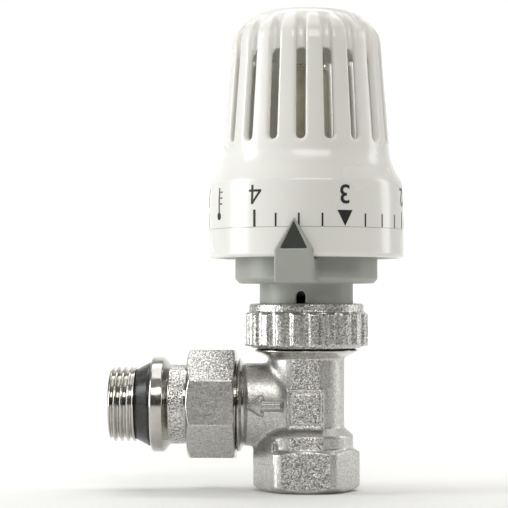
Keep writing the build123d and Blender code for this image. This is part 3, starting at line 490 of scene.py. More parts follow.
RUBBER = rubber("black_rubber")
BRASS = metal("machined_brass", (0.52, 0.37, 0.15), (0.62, 0.46, 0.2), 0.2, 0.35)
STEEL = metal("stainless_steel", (0.5, 0.5, 0.5), (0.6, 0.6, 0.6), 0.2, 0.35)
OLIVE = metal("olive_metal", (0.40, 0.37, 0.26), (0.50, 0.47, 0.35), 0.4, 0.55, (1, 1, 0.2))
OLIVE.node_tree.nodes["Principled BSDF"].inputs["Metallic"].default_value = 0.35
BRIGHT_RIM = metal("bright_rim", (0.6, 0.58, 0.5), (0.72, 0.7, 0.62), 0.15, 0.25)

CAD_FINISHES = {
    "black_rubber": RUBBER,
    "brass": BRASS,
    "stainless": STEEL,
    "grey_plastic": GREY,
    "dark_plastic": DARK,
    "white_plastic": WHITE,
    "olive_metal": OLIVE,
    "nickel_forged": NICKEL_FORGED,
    "nickel_turned": NICKEL_TURNED,
}
for part in frame["record"]["subparts"]:
    carried = frame["nodes"][part["node"]]
    carried.data.materials.clear()
    carried.data.materials.append(CAD_FINISHES[part["material_slot"]])


# ------------------------------------------------------------------ valve body

BODY_CELL = 0.3
SOCKET_AF = 27.0
SOCKET_FOOT_R = 12.4
SOCKET_TOP = 10.8
SHOULDER_R, SHOULDER_TOP = 13.1, 15.4
TRUNK_R, TRUNK_BOTTOM, TRUNK_TOP = 10.65, 17.7, 37.1
COLLAR_R, COLLAR_TOP = 14.6, 39.4
HEAD_THREAD_ROOT_R = 13.7
WATERWAY_R = 9.6
INSERT_R = 10.95
BRANCH_HEIGHT_R, BRANCH_DEPTH_R = 11.6, 9.4
BRANCH_BORE_R = 7.0
UNION_THREAD_R, UNION_THREAD_X, THREAD_DEPTH = 13.22, -18.6, 1.1
SEAT_MOUTH_R = 11.3
WEB_X, WEB_MID_Z, WEB_HALF = -9.0, 11.0, 3.0
PAD_X, PAD_HALF, PAD_FACE, PAD_TOP = -0.15, 5.05, 11.75, 28.6
PAD_LINE_INSET, PAD_LINE_HALF, PAD_LINE_DEPTH = 1.0, 0.3, 0.28
ARROW_TIP, ARROW_NECK, ARROW_TAIL, ARROW_Z = -15.8, -12.4, -6.9, 23.9
ARROW_HEAD_HALF, ARROW_SHAFT_HALF, ARROW_HEIGHT = 2.3, 0.9, 0.95
MOAT_HALF, MOAT_DEPTH = 0.3, 0.55


def helix_depth(angle, along, pitch):
    """From 0 at a thread's crest to 1 at its root, with the rounded flanks of a pipe thread."""
    phase = (along / pitch - angle / 2 / math.pi) % 1
    return 0.5 - 0.5 * np.cos(2 * math.pi * phase) * (1.2 - 0.2 * np.cos(2 * math.pi * phase) ** 2)


def arrow_outline():
    """The flow arrow seen from the front, pointing out of the branch."""
    return [
        (ARROW_TIP, ARROW_Z),
        (ARROW_NECK, ARROW_Z + ARROW_HEAD_HALF),
        (ARROW_NECK, ARROW_Z + ARROW_SHAFT_HALF),
        (ARROW_TAIL, ARROW_Z + ARROW_SHAFT_HALF),
        (ARROW_TAIL, ARROW_Z - ARROW_SHAFT_HALF),
        (ARROW_NECK, ARROW_Z - ARROW_SHAFT_HALF),
        (ARROW_NECK, ARROW_Z - ARROW_HEAD_HALF),
    ]


def body_field():
    socket_turned = Lathe(
        [
            (0, 0), (SOCKET_FOOT_R, 0), (SOCKET_CORNER_R, 1.5), (SOCKET_CORNER_R, SOCKET_TOP),
            (SHOULDER_R, SOCKET_TOP + 1.1), (0, SOCKET_TOP + 1.1),
        ],
        0.1,
    )
    turned = Lathe(
        [
            (0, 5), (SHOULDER_R, 5), (SHOULDER_R, SHOULDER_TOP), (SHOULDER_R - 0.2, SHOULDER_TOP + 0.4),
            (TRUNK_R, TRUNK_BOTTOM), (TRUNK_R, TRUNK_TOP), (COLLAR_R, COLLAR_TOP - 0.4),
            (COLLAR_R, COLLAR_TOP), (HEAD_THREAD_ROOT_R, COLLAR_TOP), (HEAD_THREAD_ROOT_R, COLLAR_TOP + 1.2),
            (SOCKET_CORNER_R, COLLAR_TOP + 2.4), (SOCKET_CORNER_R, BODY_TOP - 1.2),
            (HEAD_THREAD_ROOT_R, BODY_TOP), (0, BODY_TOP),
        ],
        0.2,
    )
    ring = Lathe(
        [
            (0, -15.0), (BRANCH_DEPTH_R, -16.0), (BRANCH_HEIGHT_R, -17.2), (BRANCH_HEIGHT_R, -17.7),
            (UNION_THREAD_R, UNION_THREAD_X), (UNION_THREAD_R, BRANCH_END_X + 0.6),
            (UNION_THREAD_R - 0.62, BRANCH_END_X), (0, BRANCH_END_X),
        ],
        0.1,
    )
    waterway = Lathe(
        [
            (0, -3), (WATERWAY_R + 1, -3), (WATERWAY_R + 1, 0), (WATERWAY_R, 1.0), (WATERWAY_R, 12.0),
            (7.4, 13.2), (7.4, 14.0), (5.25, 15.2), (5.25, 18.5), (6.6, 18.5), (6.6, 16.9), (8.2, 16.9),
            (8.2, 31.2), (8.7, 31.5), (8.7, 38.15), (INSERT_R, 38.15), (INSERT_R, 48.0), (0, 48.0),
        ],
        0.1,
    )
    outlet = Lathe(
        [
            (0, -4.1), (BRANCH_BORE_R, -4.1), (BRANCH_BORE_R, -21.5), (SEAT_MOUTH_R, BRANCH_END_X),
            (SEAT_MOUTH_R, BRANCH_END_X - 1.5), (0, BRANCH_END_X - 1.5),
        ],
        0.0,
    )
    arrow = arrow_outline()

    def field(x, y, z):
        r = np.hypot(x, y)
        up = z - BRANCH_Z
        across = np.hypot(y, up)
        flats = hexagon(x, y, SOCKET_AF)
        socket = soft_max(socket_turned(r, z), flats, 0.35)

        # the trunk runs into an oval branch, which ends in the threaded ring
        stretch = np.hypot(y / BRANCH_DEPTH_R, up / BRANCH_HEIGHT_R)
        branch = (stretch - 1) * np.where(stretch > 0, BRANCH_DEPTH_R * 1.08, 1)
        branch_cut = np.maximum(branch, np.maximum(x + 1, -17.4 - x))
        solid = soft_min(turned(r, z), branch_cut, 1.6)
        fade = np.clip((UNION_THREAD_X + 0.1 - x) / 0.6, 0, 1)
        crest = UNION_THREAD_R - THREAD_DEPTH * helix_depth(np.arctan2(y, up), x, G_HALF_PITCH) * fade
        solid = np.minimum(solid, soft_max(ring(across, x), (across - crest) * 0.8, 0.1))

        # a web under the branch, and the socket
        web = np.maximum(x - WEB_X, np.abs(z - WEB_MID_Z) - WEB_HALF)
        web = np.maximum(np.maximum(flats, r - SOCKET_CORNER_R), web)
        solid = soft_min(solid, web, 1.2)
        solid = soft_min(solid, socket, 0.3)

        # the raised pad with a line round it
        pad_z = np.abs(z - (TRUNK_BOTTOM + PAD_TOP) / 2) - (PAD_TOP - TRUNK_BOTTOM) / 2
        square = np.maximum(np.abs(x - PAD_X) - PAD_HALF, pad_z)
        pad = soft_max(soft_max(square, -PAD_FACE - y, 0.25), y, 0.3)
        pad_line = np.maximum(
            np.abs(square + PAD_LINE_INSET) - PAD_LINE_HALF,
            np.abs(y + PAD_FACE) - PAD_LINE_DEPTH,
        )
        solid = soft_max(soft_min(solid, pad, 0.2), -pad_line, 0.2)

        # the arrow stands up from the branch inside a groove
        mark = outline_distance(arrow, x, z)
        moat = np.maximum(np.abs(mark - 0.3) - MOAT_HALF, np.abs(branch) - MOAT_DEPTH)
        solid = soft_max(solid, -np.maximum(moat, y), 0.2)
        raised = soft_max(soft_max(mark, branch - ARROW_HEIGHT, 0.2), y, 0.3)
        solid = soft_min(solid, raised, 0.15)

        # the ways for water, the lower one with its thread
        crest_depth = 1 - helix_depth(np.arctan2(x, -y), z, G_HALF_PITCH)
        thread = (G_HALF_MINOR_R - WATERWAY_R + THREAD_DEPTH * crest_depth) * (z < 11.5) * (z > 0.6)
        solid = soft_max(solid, -(waterway(r, z) - np.where(r > 8.9, thread, 0)), 0.2)
        return soft_max(solid, -outlet(across, x), 0.2)

    return field


def forged_faces(x, y, z, nx, ny, nz):
    """0 on the forged skin, 1 on machined faces such as bores, threaded rings and the collar, and 2 on the
    coarse front and rear of the socket, the pad and the trunk."""
    r = np.hypot(x, y)
    outside = (r > 10) | (x < -9)
    machined = (z > TRUNK_TOP + 0.4) | (x < -17.0) | (z < 0.9) | ~outside
    grainy = (np.abs(ny) > 0.93) & ((z < SOCKET_TOP) | (np.abs(x) < 5.2)) & (z > 1.2)
    return np.where(machined, 1, np.where(grainy, 2, 0))


points, quads = contour(
    body_field(),
    (lines(-26.2, (15.4, BODY_CELL)), lines(-15.4, (15.4, BODY_CELL)), lines(-0.7, (47.1, BODY_CELL))),
    straight,
)
valve_body = shown(
    "valve_body_forging",
    points,
    quads,
    [NICKEL_FORGED, NICKEL_TURNED, NICKEL_GRAINY],
    "valve",
    "valve_body",
)
paint(valve_body, forged_faces)


# ------------------------------------------------------------------ union nut

NUT_SIDES = 8
NUT_AF = 30.0
NUT_TILT = math.radians(4.2)
NUT_CORNER_R = 16.35
NUT_BORE_R = 13.3
NUT_HOLE_R = 11.3
NUT_SHOULDER_X = -29.2


def union_nut_field():
    turned = Lathe(
        [
            (NUT_HOLE_R, NUT_LEFT_X), (14.4, NUT_LEFT_X), (NUT_CORNER_R, NUT_LEFT_X + 1.2),
            (NUT_CORNER_R, NUT_RIGHT_X - 0.6), (15.3, NUT_RIGHT_X), (NUT_BORE_R + 0.3, NUT_RIGHT_X),
            (NUT_BORE_R, NUT_RIGHT_X - 0.3), (NUT_BORE_R, NUT_SHOULDER_X), (NUT_HOLE_R, NUT_SHOULDER_X),
        ],
        0.15,
    )

    def field(x, y, z):
        up = z - BRANCH_Z
        off = from_nearest(np.arctan2(y, up) - NUT_TILT, NUT_SIDES)
        flat = np.hypot(y, up) * np.cos(off) - NUT_AF / 2
        return soft_max(turned(np.hypot(y, up), x), flat, 0.25)

    return field


def nut_faces(x, y, z, nx, ny, nz):
    """0 on the smooth flats, 1 on the turned ends, chamfers and bore, and 2 on the coarse flats."""
    turned = (np.abs(nx) > 0.2) | (np.hypot(y, z - BRANCH_Z) < 14.6)
    side = np.floor((np.arctan2(ny, nz) - NUT_TILT) / (2 * math.pi / NUT_SIDES) + 0.5)
    return np.where(turned, 1, np.where(side % 4 % 3 == 0, 2, 0))


points, quads = contour(
    union_nut_field(),
    (
        np.linspace(0, 2 * math.pi / NUT_SIDES, 41)[:-1] + NUT_TILT,
        lines(10.8, (11.8, 0.3), (13.0, 0.4), (16.8, 0.25)),
        lines(-33.6, (-31.4, 0.25), (-29.8, 0.6), (-28.8, 0.25), (-21, 0.8), (-19.3, 0.25)),
    ),
    about_branch,
    NUT_SIDES,
)
union_nut = shown(
    "union_nut_octagon",
    points,
    quads,
    [NICKEL_FORGED, NICKEL_BRANCH, NICKEL_GRAINY],
    "union_nut",
    "union_nut",
)
paint(union_nut, nut_faces)


# ------------------------------------------------------------------ tailpiece and its seal

TAIL_THREAD_END_X = -47.7
TAIL_SEAL_R = 9.2
TAIL_COLLAR_R = 13.3
TAIL_TUBE_R = 11.0
TAIL_ROUGH_R = 11.1
TAIL_ROUGH_X = (-38.05, -33.9)
TAIL_GROOVE_R = 10.15
TAIL_GROOVE_X = (-28.95, -27.25)
TAIL_NOSE_R = 7.85
TAIL_BORE_R = 6.0
KEY_AF, KEY_END_X = 12.6, -46


def tail_field():
    turned = Lathe(
        [
            (TAIL_BORE_R, TAIL_END_X), (9.5, TAIL_END_X), (G_HALF_MAJOR_R, TAIL_END_X + 1),
            (G_HALF_MAJOR_R, TAIL_THREAD_END_X), (TAIL_SEAL_R, TAIL_THREAD_END_X), (TAIL_SEAL_R, -43.25),
            (TAIL_COLLAR_R - 0.5, -43.25), (TAIL_COLLAR_R, -42.7), (TAIL_COLLAR_R, -39.85),
            (TAIL_ROUGH_R, TAIL_ROUGH_X[0]), (TAIL_ROUGH_R, TAIL_ROUGH_X[1]), (TAIL_TUBE_R, -33.6),
            (TAIL_TUBE_R, TAIL_GROOVE_X[0]), (TAIL_GROOVE_R, TAIL_GROOVE_X[0]),
            (TAIL_GROOVE_R, TAIL_GROOVE_X[1]), (TAIL_TUBE_R, TAIL_GROOVE_X[1]), (TAIL_TUBE_R, -25.3),
            (TAIL_NOSE_R, TAIL_NOSE_X), (TAIL_BORE_R, TAIL_NOSE_X),
        ],
        0.1,
    )

    def field(x, y, z):
        up = z - BRANCH_Z
        r = np.hypot(y, up)
        root = helix_depth(np.arctan2(y, up), x, G_HALF_PITCH)
        fade = np.clip((TAIL_THREAD_END_X - 0.2 - x) / 1.2, 0, 1)
        depth = (G_HALF_MAJOR_R - G_HALF_MINOR_R) * root * fade
        solid = turned(r, x)
        threaded = soft_max(solid, (r - G_HALF_MAJOR_R + depth) * 0.75, 0.15)
        solid = np.where(x < TAIL_THREAD_END_X + 0.1, threaded, solid)
        key = np.maximum(hexagon(y, up, KEY_AF), x - KEY_END_X)
        return soft_max(solid, -key, 0.2)

    return field


def tail_faces(x, y, z, nx, ny, nz):
    """1 on the coarse outside of the tube beside the nut, and 0 on everything turned."""
    rough = (x > TAIL_ROUGH_X[0] + 0.25) & (x < TAIL_ROUGH_X[1] - 0.1)
    return np.where(rough & (np.hypot(y, z - BRANCH_Z) > 10.5), 1, 0)


points, quads = contour(
    tail_field(),
    (
        np.linspace(0, 2 * math.pi, 193)[:-1],
        lines(5.5, (8.8, 0.4), (10.9, 0.2), (13.7, 0.3)),
        lines(
            -55.5, (-47.4, 0.2), (-43.6, 0.6), (-42.3, 0.2), (-40.2, 0.5), (-37.7, 0.25), (-29.3, 0.6),
            (-26.9, 0.25), (-22.0, 0.4),
        ),
    ),
    about_branch,
    1,
)
tail = shown(
    "tail_turned", points, quads, [NICKEL_BRANCH, NICKEL_GRAINY], "valve", "tailpiece"
)
paint(tail, tail_faces)

SEAL_BORE_R, SEAL_NARROW_R = 9.25, 9.75
seal_outline = [
    (SEAL_BORE_R, SEAL_LEFT_X),
    (SEAL_NARROW_R, SEAL_LEFT_X),
    (SEAL_WIDE_R, SEAL_RIGHT_X - 0.6),
    (SEAL_WIDE_R - 0.2, SEAL_RIGHT_X),
    (SEAL_BORE_R, SEAL_RIGHT_X),
]
points, quads = contour(
    round_branch(Lathe(seal_outline, 0.15)),
    (np.array([0.0]), lines(8.8, (12.1, 0.15)), lines(-48.1, (-42.8, 0.15))),
    about_branch,
    96,
)
shown("tail_cone_seal", points, quads, [RUBBER], "valve", "tail_seal")


# ------------------------------------------------------------------ knurled head nut

FLUTES = 22
FLUTE_R, FLUTE_CENTRE_R = 1.5, 17.9
KNURL_R = 17.28
KNURL_RING_R = 16.05
KNURL_BORE_R, KNURL_LIP_R, KNURL_LIP_Z = 15.0, 13.4, 49.6


def head_nut_field():
    turned = Lathe(
        [
            (KNURL_BORE_R, KNURL_BOTTOM), (15.2, KNURL_BOTTOM), (15.6, KNURL_BOTTOM + 0.6),
            (16.9, KNURL_BOTTOM + 0.6), (KNURL_R, KNURL_BOTTOM + 1.1), (KNURL_R, 49.2), (KNURL_RING_R, 50.1),
            (KNURL_RING_R, KNURL_TOP - 0.4), (15.6, KNURL_TOP), (KNURL_LIP_R, KNURL_TOP),
            (KNURL_LIP_R, KNURL_LIP_Z), (KNURL_BORE_R, KNURL_LIP_Z),
        ],
        0.15,
    )

    def field(x, y, z):
        off = from_nearest(np.arctan2(x, -y), FLUTES)
        r = np.hypot(x, y)
        flute = np.hypot(r * np.sin(off), r * np.cos(off) - FLUTE_CENTRE_R) - FLUTE_R
        flute = soft_max(flute, soft_max(KNURL_BOTTOM + 0.3 - z, z - KNURL_LIP_Z - 1, 0.3), 0.4)
        return soft_max(turned(r, z), -flute, 0.45)

    return field


points, quads = contour(
    head_nut_field(),
    (
        np.linspace(0, 2 * math.pi / FLUTES, 19)[:-1],
        lines(12.9, (13.8, 0.25), (14.8, 0.5), (17.7, 0.2)),
        lines(39.4, (41.3, 0.2), (48.6, 0.6), (52.7, 0.2)),
    ),
    about_z,
    FLUTES,
)
shown("head_nut_knurled", points, quads, [NICKEL_KNURLED], "head_nut", "head_nut")


# ------------------------------------------------------------------ base of the head with its pointer

POINTER_ANGLE = math.radians(-5.8)
TONGUE_HALF, TONGUE_SHOULDER, TONGUE_TIP = 5.25, 66.8, 75.5
TONGUE_INNER, TONGUE_OUTER = 27.6, 29.0
POCKET_HALF, POCKET_BOTTOM, POCKET_TOP, POCKET_FLOOR = 3.6, 67.1, 74.4, 28.4
NECK_R, NECK_BORE_R = 13.1, 11.2
CUP_BOTTOM, CUP_FLOOR, CUP_TOP = 57.9, 60.4, 66.0
CUP_INNER_R = 18.3
CATCH_R, CATCH_BORE_R, CATCH_TOP, CATCH_RING_Z = 17.5, 15.7, 80.0, 76.0
GUIDE_R, GUIDE_BORE_R, GUIDE_FLOOR = 11.3, 9.1, 64.0
ROD_HOLE_R = 3.08
KEY_SLOT_HALF, KEY_SLOT_BOTTOM, KEY_SLOT_ARCH = 1.3, 52.0, 54.4


def base_field():
    turned = Lathe(
        [
            (NECK_BORE_R, NECK_BOTTOM), (NECK_R, NECK_BOTTOM), (NECK_R, NECK_BOTTOM + 1),
            (12.25, NECK_BOTTOM + 1), (12.25, NECK_BOTTOM + 2.7), (NECK_R, NECK_BOTTOM + 2.7),
            (NECK_R, CUP_BOTTOM), (BASE_R - 1.2, CUP_BOTTOM), (BASE_R, CUP_BOTTOM + 1.2), (BASE_R, CUP_TOP),
            (CUP_INNER_R, CUP_TOP),
            (CUP_INNER_R, CUP_FLOOR), (CATCH_R, CUP_FLOOR), (CATCH_R, CATCH_TOP), (CATCH_BORE_R, CATCH_TOP),
            (CATCH_BORE_R, CATCH_RING_Z + 0.85), (16.55, CATCH_RING_Z + 0.85), (16.55, CATCH_RING_Z - 0.85),
            (CATCH_BORE_R, CATCH_RING_Z - 0.85), (CATCH_BORE_R, CUP_FLOOR), (GUIDE_R, CUP_FLOOR),
            (GUIDE_R, GUIDE_TOP), (GUIDE_BORE_R, GUIDE_TOP), (GUIDE_BORE_R, GUIDE_FLOOR),
            (ROD_HOLE_R, GUIDE_FLOOR), (ROD_HOLE_R, CUP_BOTTOM), (NECK_BORE_R, CUP_BOTTOM),
        ],
        0.15,
    )
    tongue = [
        (-TONGUE_HALF, CUP_BOTTOM), (TONGUE_HALF, CUP_BOTTOM), (TONGUE_HALF, TONGUE_SHOULDER),
        (0, TONGUE_TIP), (-TONGUE_HALF, TONGUE_SHOULDER),
    ]
    pocket = [(-POCKET_HALF, POCKET_BOTTOM), (POCKET_HALF, POCKET_BOTTOM), (0, POCKET_TOP)]

    def field(x, y, z):
        across = x * math.cos(POINTER_ANGLE) + y * math.sin(POINTER_ANGLE)
        out = x * math.sin(POINTER_ANGLE) - y * math.cos(POINTER_ANGLE)
        solid = turned(np.hypot(x, y), z)
        front = soft_max(
            outline_distance(tongue, across, z),
            np.maximum(out - TONGUE_OUTER, TONGUE_INNER - out),
            0.5,
        )
        shelf = soft_max(
            np.maximum(np.abs(across) - TONGUE_HALF, np.maximum(CUP_BOTTOM - z, z - 64.5)),
            np.maximum(out - 28.9, 18.8 - out),
            0.5,
        )
        solid = soft_min(solid, shelf, 0.5)
        solid = soft_min(solid, front, 0.3)
        hollow = np.maximum(outline_distance(pocket, across, z), POCKET_FLOOR - out)
        solid = soft_max(solid, -hollow, 0.15)
        arch = np.hypot(across, np.maximum(z - KEY_SLOT_ARCH, 0)) - KEY_SLOT_HALF
        arch = np.maximum(np.maximum(arch, KEY_SLOT_BOTTOM - z), np.maximum(9.0 - out, out - 15))
        return soft_max(solid, -arch, 0.15)

    return field


BASE_CELL = 0.36
points, quads = contour(
    base_field(),
    (
        lines(-20.4, (20.4, BASE_CELL)),
        lines(-29.6, (20.4, BASE_CELL)),
        lines(46.2, (76.2, BASE_CELL), (88.6, 0.6)),
    ),
    straight,
)
shown("head_base_moulding", points, quads, [GREY], "valve", "head_base")


# ------------------------------------------------------------------ handwheel

SLOTS = 18
SLOT_FIRST = math.radians(-3.0)
SLOT_HALF = 1.25
SLOT_BOTTOM = 97.0
SKIRT_TOP, SKIRT_TOP_R = 85.3, 27.0
SKIRT_STRAIGHT_TOP = 80.0
SKIRT_INNER_R = 25.05
SLEEVE_R, SLEEVE_BORE_R, SLEEVE_TOP, SLEEVE_RING_Z = 15.4, 13.6, 94.8, 76.0


def curve(points, start, end, steps=14):
    """Points along a smooth curve through the given ones, with its end slopes."""
    path = np.array(points, float)
    slopes = np.empty_like(path)
    slopes[1:-1] = (path[2:] - path[:-2]) / 2
    slopes[0] = np.array(start) * np.linalg.norm(path[1] - path[0])
    slopes[-1] = np.array(end) * np.linalg.norm(path[-1] - path[-2])
    placed = []
    for a, b, u, v in zip(path, path[1:], slopes, slopes[1:]):
        for t in np.linspace(0, 1, steps, endpoint=False):
            from_ends = (2 * t**3 - 3 * t**2 + 1) * a + (3 * t**2 - 2 * t**3) * b
            from_slopes = (t**3 - 2 * t**2 + t) * u + (t**3 - t**2) * v
            placed.append(tuple(from_ends + from_slopes))
    return placed + [tuple(path[-1])]


GRIP_SLOPE = (-0.078, 1)
FLARE = curve(
    [(SKIRT_TOP_R, SKIRT_TOP), (26.4, 86.9), (24.6, 90.3), (23.6, 93.2), (23.3, 95.4)], (0, 1), GRIP_SLOPE
)
DOME = curve(
    [(21.2, 122.3), (21.0, 125.2), (19.95, 128.3), (16.9, 131.6), (12.2, 134.2), (0, WHEEL_TOP)],
    GRIP_SLOPE,
    (-1, 0),
)
CROWN = curve([(19.3, 121.8), (18.9, 126.0), (17.9, 129.4), (17.1, 131.4)], (-0.1, 1), (-0.5, 1))


def handwheel_field():
    outside = Lathe(
        [
            (0, WHEEL_BOTTOM), (SKIRT_R - 0.65, WHEEL_BOTTOM), (SKIRT_R, WHEEL_BOTTOM + 0.7),
            (SKIRT_R, SKIRT_STRAIGHT_TOP), *FLARE, *DOME,
        ],
        0.25,
    )
    inside = Lathe(
        [
            (0, 60.0), (SKIRT_INNER_R, 60.0), (SKIRT_INNER_R, SKIRT_TOP), (22.6, 90.3), (21.4, 93.6),
            (21.1, 95.4), (19.2, 119.8), (17.3, 121.8), (15.1, 126.2), (0, 129.6),
        ],
        0.3,
    )
    crown = Lathe([(0, 121.8), *CROWN, (16.2, 140.0), (0, 140.0)], 0.3)
    sleeve = Lathe(
        [
            (SLEEVE_BORE_R, 69.0), (SLEEVE_R, 69.0), (SLEEVE_R, SLEEVE_RING_Z - 1.1),
            (14.6, SLEEVE_RING_Z - 1.1), (14.6, SLEEVE_RING_Z + 1.1), (SLEEVE_R, SLEEVE_RING_Z + 1.1),
            (SLEEVE_R, 92.6), (22.2, 92.6), (22.2, SLEEVE_TOP), (SLEEVE_BORE_R, SLEEVE_TOP),
        ],
        0.1,
    )

    def field(x, y, z):
        r = np.hypot(x, y)
        side = r * np.sin(from_nearest(np.arctan2(x, -y) - SLOT_FIRST, SLOTS))
        slot = np.hypot(side, np.maximum(SLOT_BOTTOM + SLOT_HALF - z, 0)) - SLOT_HALF
        slot = soft_max(slot, -crown(r, z), 1.0)
        slot = np.maximum(slot, 12.0 - r)
        shell = soft_max(outside(r, z), -inside(r, z), 0.5)
        shell = soft_max(shell, -slot, 1.1)
        return soft_min(shell, sleeve(r, z), 0.6)

    return field


points, quads = contour(
    handwheel_field(),
    (
        np.linspace(0, 2 * math.pi / SLOTS, 27)[:-1],
        lines(0.4, (12.9, 1.25), (15.9, 0.4), (18.3, 0.6), (27.7, 0.3)),
        lines(
            64.3, (66.5, 0.25), (68.4, 0.9), (69.6, 0.3), (74.2, 1.5), (77.8, 0.4), (84.2, 1.6), (92.0, 0.6),
            (95.4, 0.4), (99.6, 0.3), (118.8, 1.6), (122.8, 0.4), (135.9, 0.35),
        ),
    ),
    about_z,
    SLOTS,
)
shown("handwheel_shell", points, quads, [WHITE], "handwheel", "handwheel")


# ------------------------------------------------------------------ scale printed on the skirt

PRINT_PROUD, PRINT_ROOT = 0.045, 0.15
PRINT_STRIP = 0.5
PRINT_LEVELS = range(74, 85)
NUMERAL_Z, NUMERAL_HEIGHT = 81.7, 5.2
MARK_BOTTOM, MARK_TOP, MARK_WIDTH = 73.0, 77.6, 0.75
TICK_TOP, TICK_WIDTH = 76.6, 0.5
TRIANGLE_HALF, TRIANGLE_TOP, TRIANGLE_TIP = 2.2, 77.4, 73.1
STEP_AZIMUTH = 53.3
NUMERALS = {"4": -30.0, "3": 23.3, "2": 76.6, "1": 129.9, "5": -83.3}
LAST_NUMERALS = "15"
THERMOMETER_AZIMUTH = -60.5
BULB_R, BULB_Z = 1.05, 76.2
THERMOMETER_LEVELS = (79.4, 81.0, 82.6)


def skirt_radius(z):
    return np.interp(z, [SKIRT_STRAIGHT_TOP, SKIRT_TOP], [SKIRT_R, SKIRT_TOP_R])


def wrapped(name, flat, azimuth):
    """Wraps a flat bmesh, in mm with x sideways, y up and z outwards, round the skirt at an azimuth in
    degrees. It is cut into strips first, so that it bends with the skirt."""
    strips = int(max(abs(v.co.x) for v in flat.verts) / PRINT_STRIP)
    for k in range(-strips, strips + 1):
        everything = flat.verts[:] + flat.edges[:] + flat.faces[:]
        bmesh.ops.bisect_plane(flat, geom=everything, plane_co=(k * PRINT_STRIP, 0, 0), plane_no=(1, 0, 0))
    for level in PRINT_LEVELS:
        everything = flat.verts[:] + flat.edges[:] + flat.faces[:]
        bmesh.ops.bisect_plane(flat, geom=everything, plane_co=(0, level, 0), plane_no=(0, 1, 0))
    for v in flat.verts:
        r = float(skirt_radius(v.co.y)) + (PRINT_PROUD if v.co.z > 0 else -PRINT_ROOT)
        angle = math.radians(azimuth) + v.co.x / SKIRT_R
        v.co = Vector((r * math.sin(angle), -r * math.cos(angle), v.co.y)) * MM
    bmesh.ops.recalc_face_normals(flat, faces=flat.faces[:])
    mesh = bpy.data.meshes.new(name)
    flat.to_mesh(mesh)
    flat.free()
    piece = bpy.data.objects.new(name, mesh)
    bpy.context.scene.collection.objects.link(piece)
    mesh.materials.append(PRINT)
    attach(piece, "handwheel")
    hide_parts("handwheel")


def slab(flat, outline):
    """Adds a closed plate with this outline of (x, y) points to a flat bmesh."""
    front = [flat.verts.new((x, y, 1)) for x, y in outline]
    rear = [flat.verts.new((x, y, -1)) for x, y in outline]
    flat.faces.new(front)
    flat.faces.new(rear[::-1])
    for a in range(len(outline)):
        b = (a + 1) % len(outline)
        flat.faces.new((front[b], front[a], rear[a], rear[b]))


def bar(flat, x, low, high, width):
    """An upright bar."""
    slab(flat, [(x - width / 2, low), (x + width / 2, low), (x + width / 2, high), (x - width / 2, high)])


def stroke(flat, start, end, width):
    """A straight stroke with square ends."""
    along = Vector((end[0] - start[0], end[1] - start[1])).normalized() * width / 2
    side = Vector((-along.y, along.x))
    a, b = Vector(start) - along, Vector(end) + along
    slab(flat, [tuple(a - side), tuple(b - side), tuple(b + side), tuple(a + side)])


def numeral(text):
    """A flat bmesh of one numeral, upside down, because the scale is read from the crown's side."""
    if text == "4":
        flat = bmesh.new()
        low = NUMERAL_Z - NUMERAL_HEIGHT / 2
        high = NUMERAL_Z + NUMERAL_HEIGHT / 2
        bar(flat, -0.75, low, high, 0.72)
        stroke(flat, (-1.55, high - 1.55), (1.75, high - 1.55), 0.62)
        stroke(flat, (1.55, high - 1.9), (-0.62, low + 0.35), 0.62)
        return flat
    curve_data = bpy.data.curves.new("numeral_" + text, "FONT")
    curve_data.body = text
    curve_data.align_x = "CENTER"
    curve_data.extrude = 0.1
    curve_data.offset = 0.012
    letter = bpy.data.objects.new("numeral_" + text, curve_data)
    mesh = bpy.data.meshes.new_from_object(letter)
    flat = bmesh.new()
    flat.from_mesh(mesh)
    bpy.data.objects.remove(letter)
    bpy.data.meshes.remove(mesh)
    low = [min(v.co[a] for v in flat.verts) for a in (0, 1)]
    high = [max(v.co[a] for v in flat.verts) for a in (0, 1)]
    scale = NUMERAL_HEIGHT / (high[1] - low[1])
    for v in flat.verts:
        x = -(v.co.x - (low[0] + high[0]) / 2) * scale
        y = NUMERAL_Z - (v.co.y - (low[1] + high[1]) / 2) * scale
        v.co = (x, y, 1 if v.co.z > 0 else -1)
    bmesh.ops.remove_doubles(flat, verts=flat.verts[:], dist=1e-4)
    return flat


for text, azimuth in NUMERALS.items():
    wrapped("print_numeral_" + text, numeral(text), azimuth)
    mark = bmesh.new()
    if text == "3":
        slab(mark, [(-TRIANGLE_HALF, TRIANGLE_TOP), (0, TRIANGLE_TIP), (TRIANGLE_HALF, TRIANGLE_TOP)])
    else:
        bar(mark, 0, MARK_BOTTOM, MARK_TOP, MARK_WIDTH)
    wrapped("print_mark_" + text, mark, azimuth)
    for quarter in () if text in LAST_NUMERALS else (1, 2, 3):
        tick = bmesh.new()
        bar(tick, 0, MARK_BOTTOM, TICK_TOP, TICK_WIDTH)
        wrapped("print_tick_" + text + "_" + str(quarter), tick, azimuth + quarter * STEP_AZIMUTH / 4)

bulb = bmesh.new()
slab(bulb, [(BULB_R * math.sin(a), BULB_Z + BULB_R * math.cos(a)) for a in np.linspace(0.35, 5.93, 24)])
wrapped("print_thermometer_bulb", bulb, THERMOMETER_AZIMUTH)
stem = bmesh.new()
bar(stem, 0, 77.2, 84.0, 0.62)
for level in THERMOMETER_LEVELS:
    bar(stem, 1.15, level, level + 0.4, 1.1)
wrapped("print_thermometer_stem", stem, THERMOMETER_AZIMUTH)

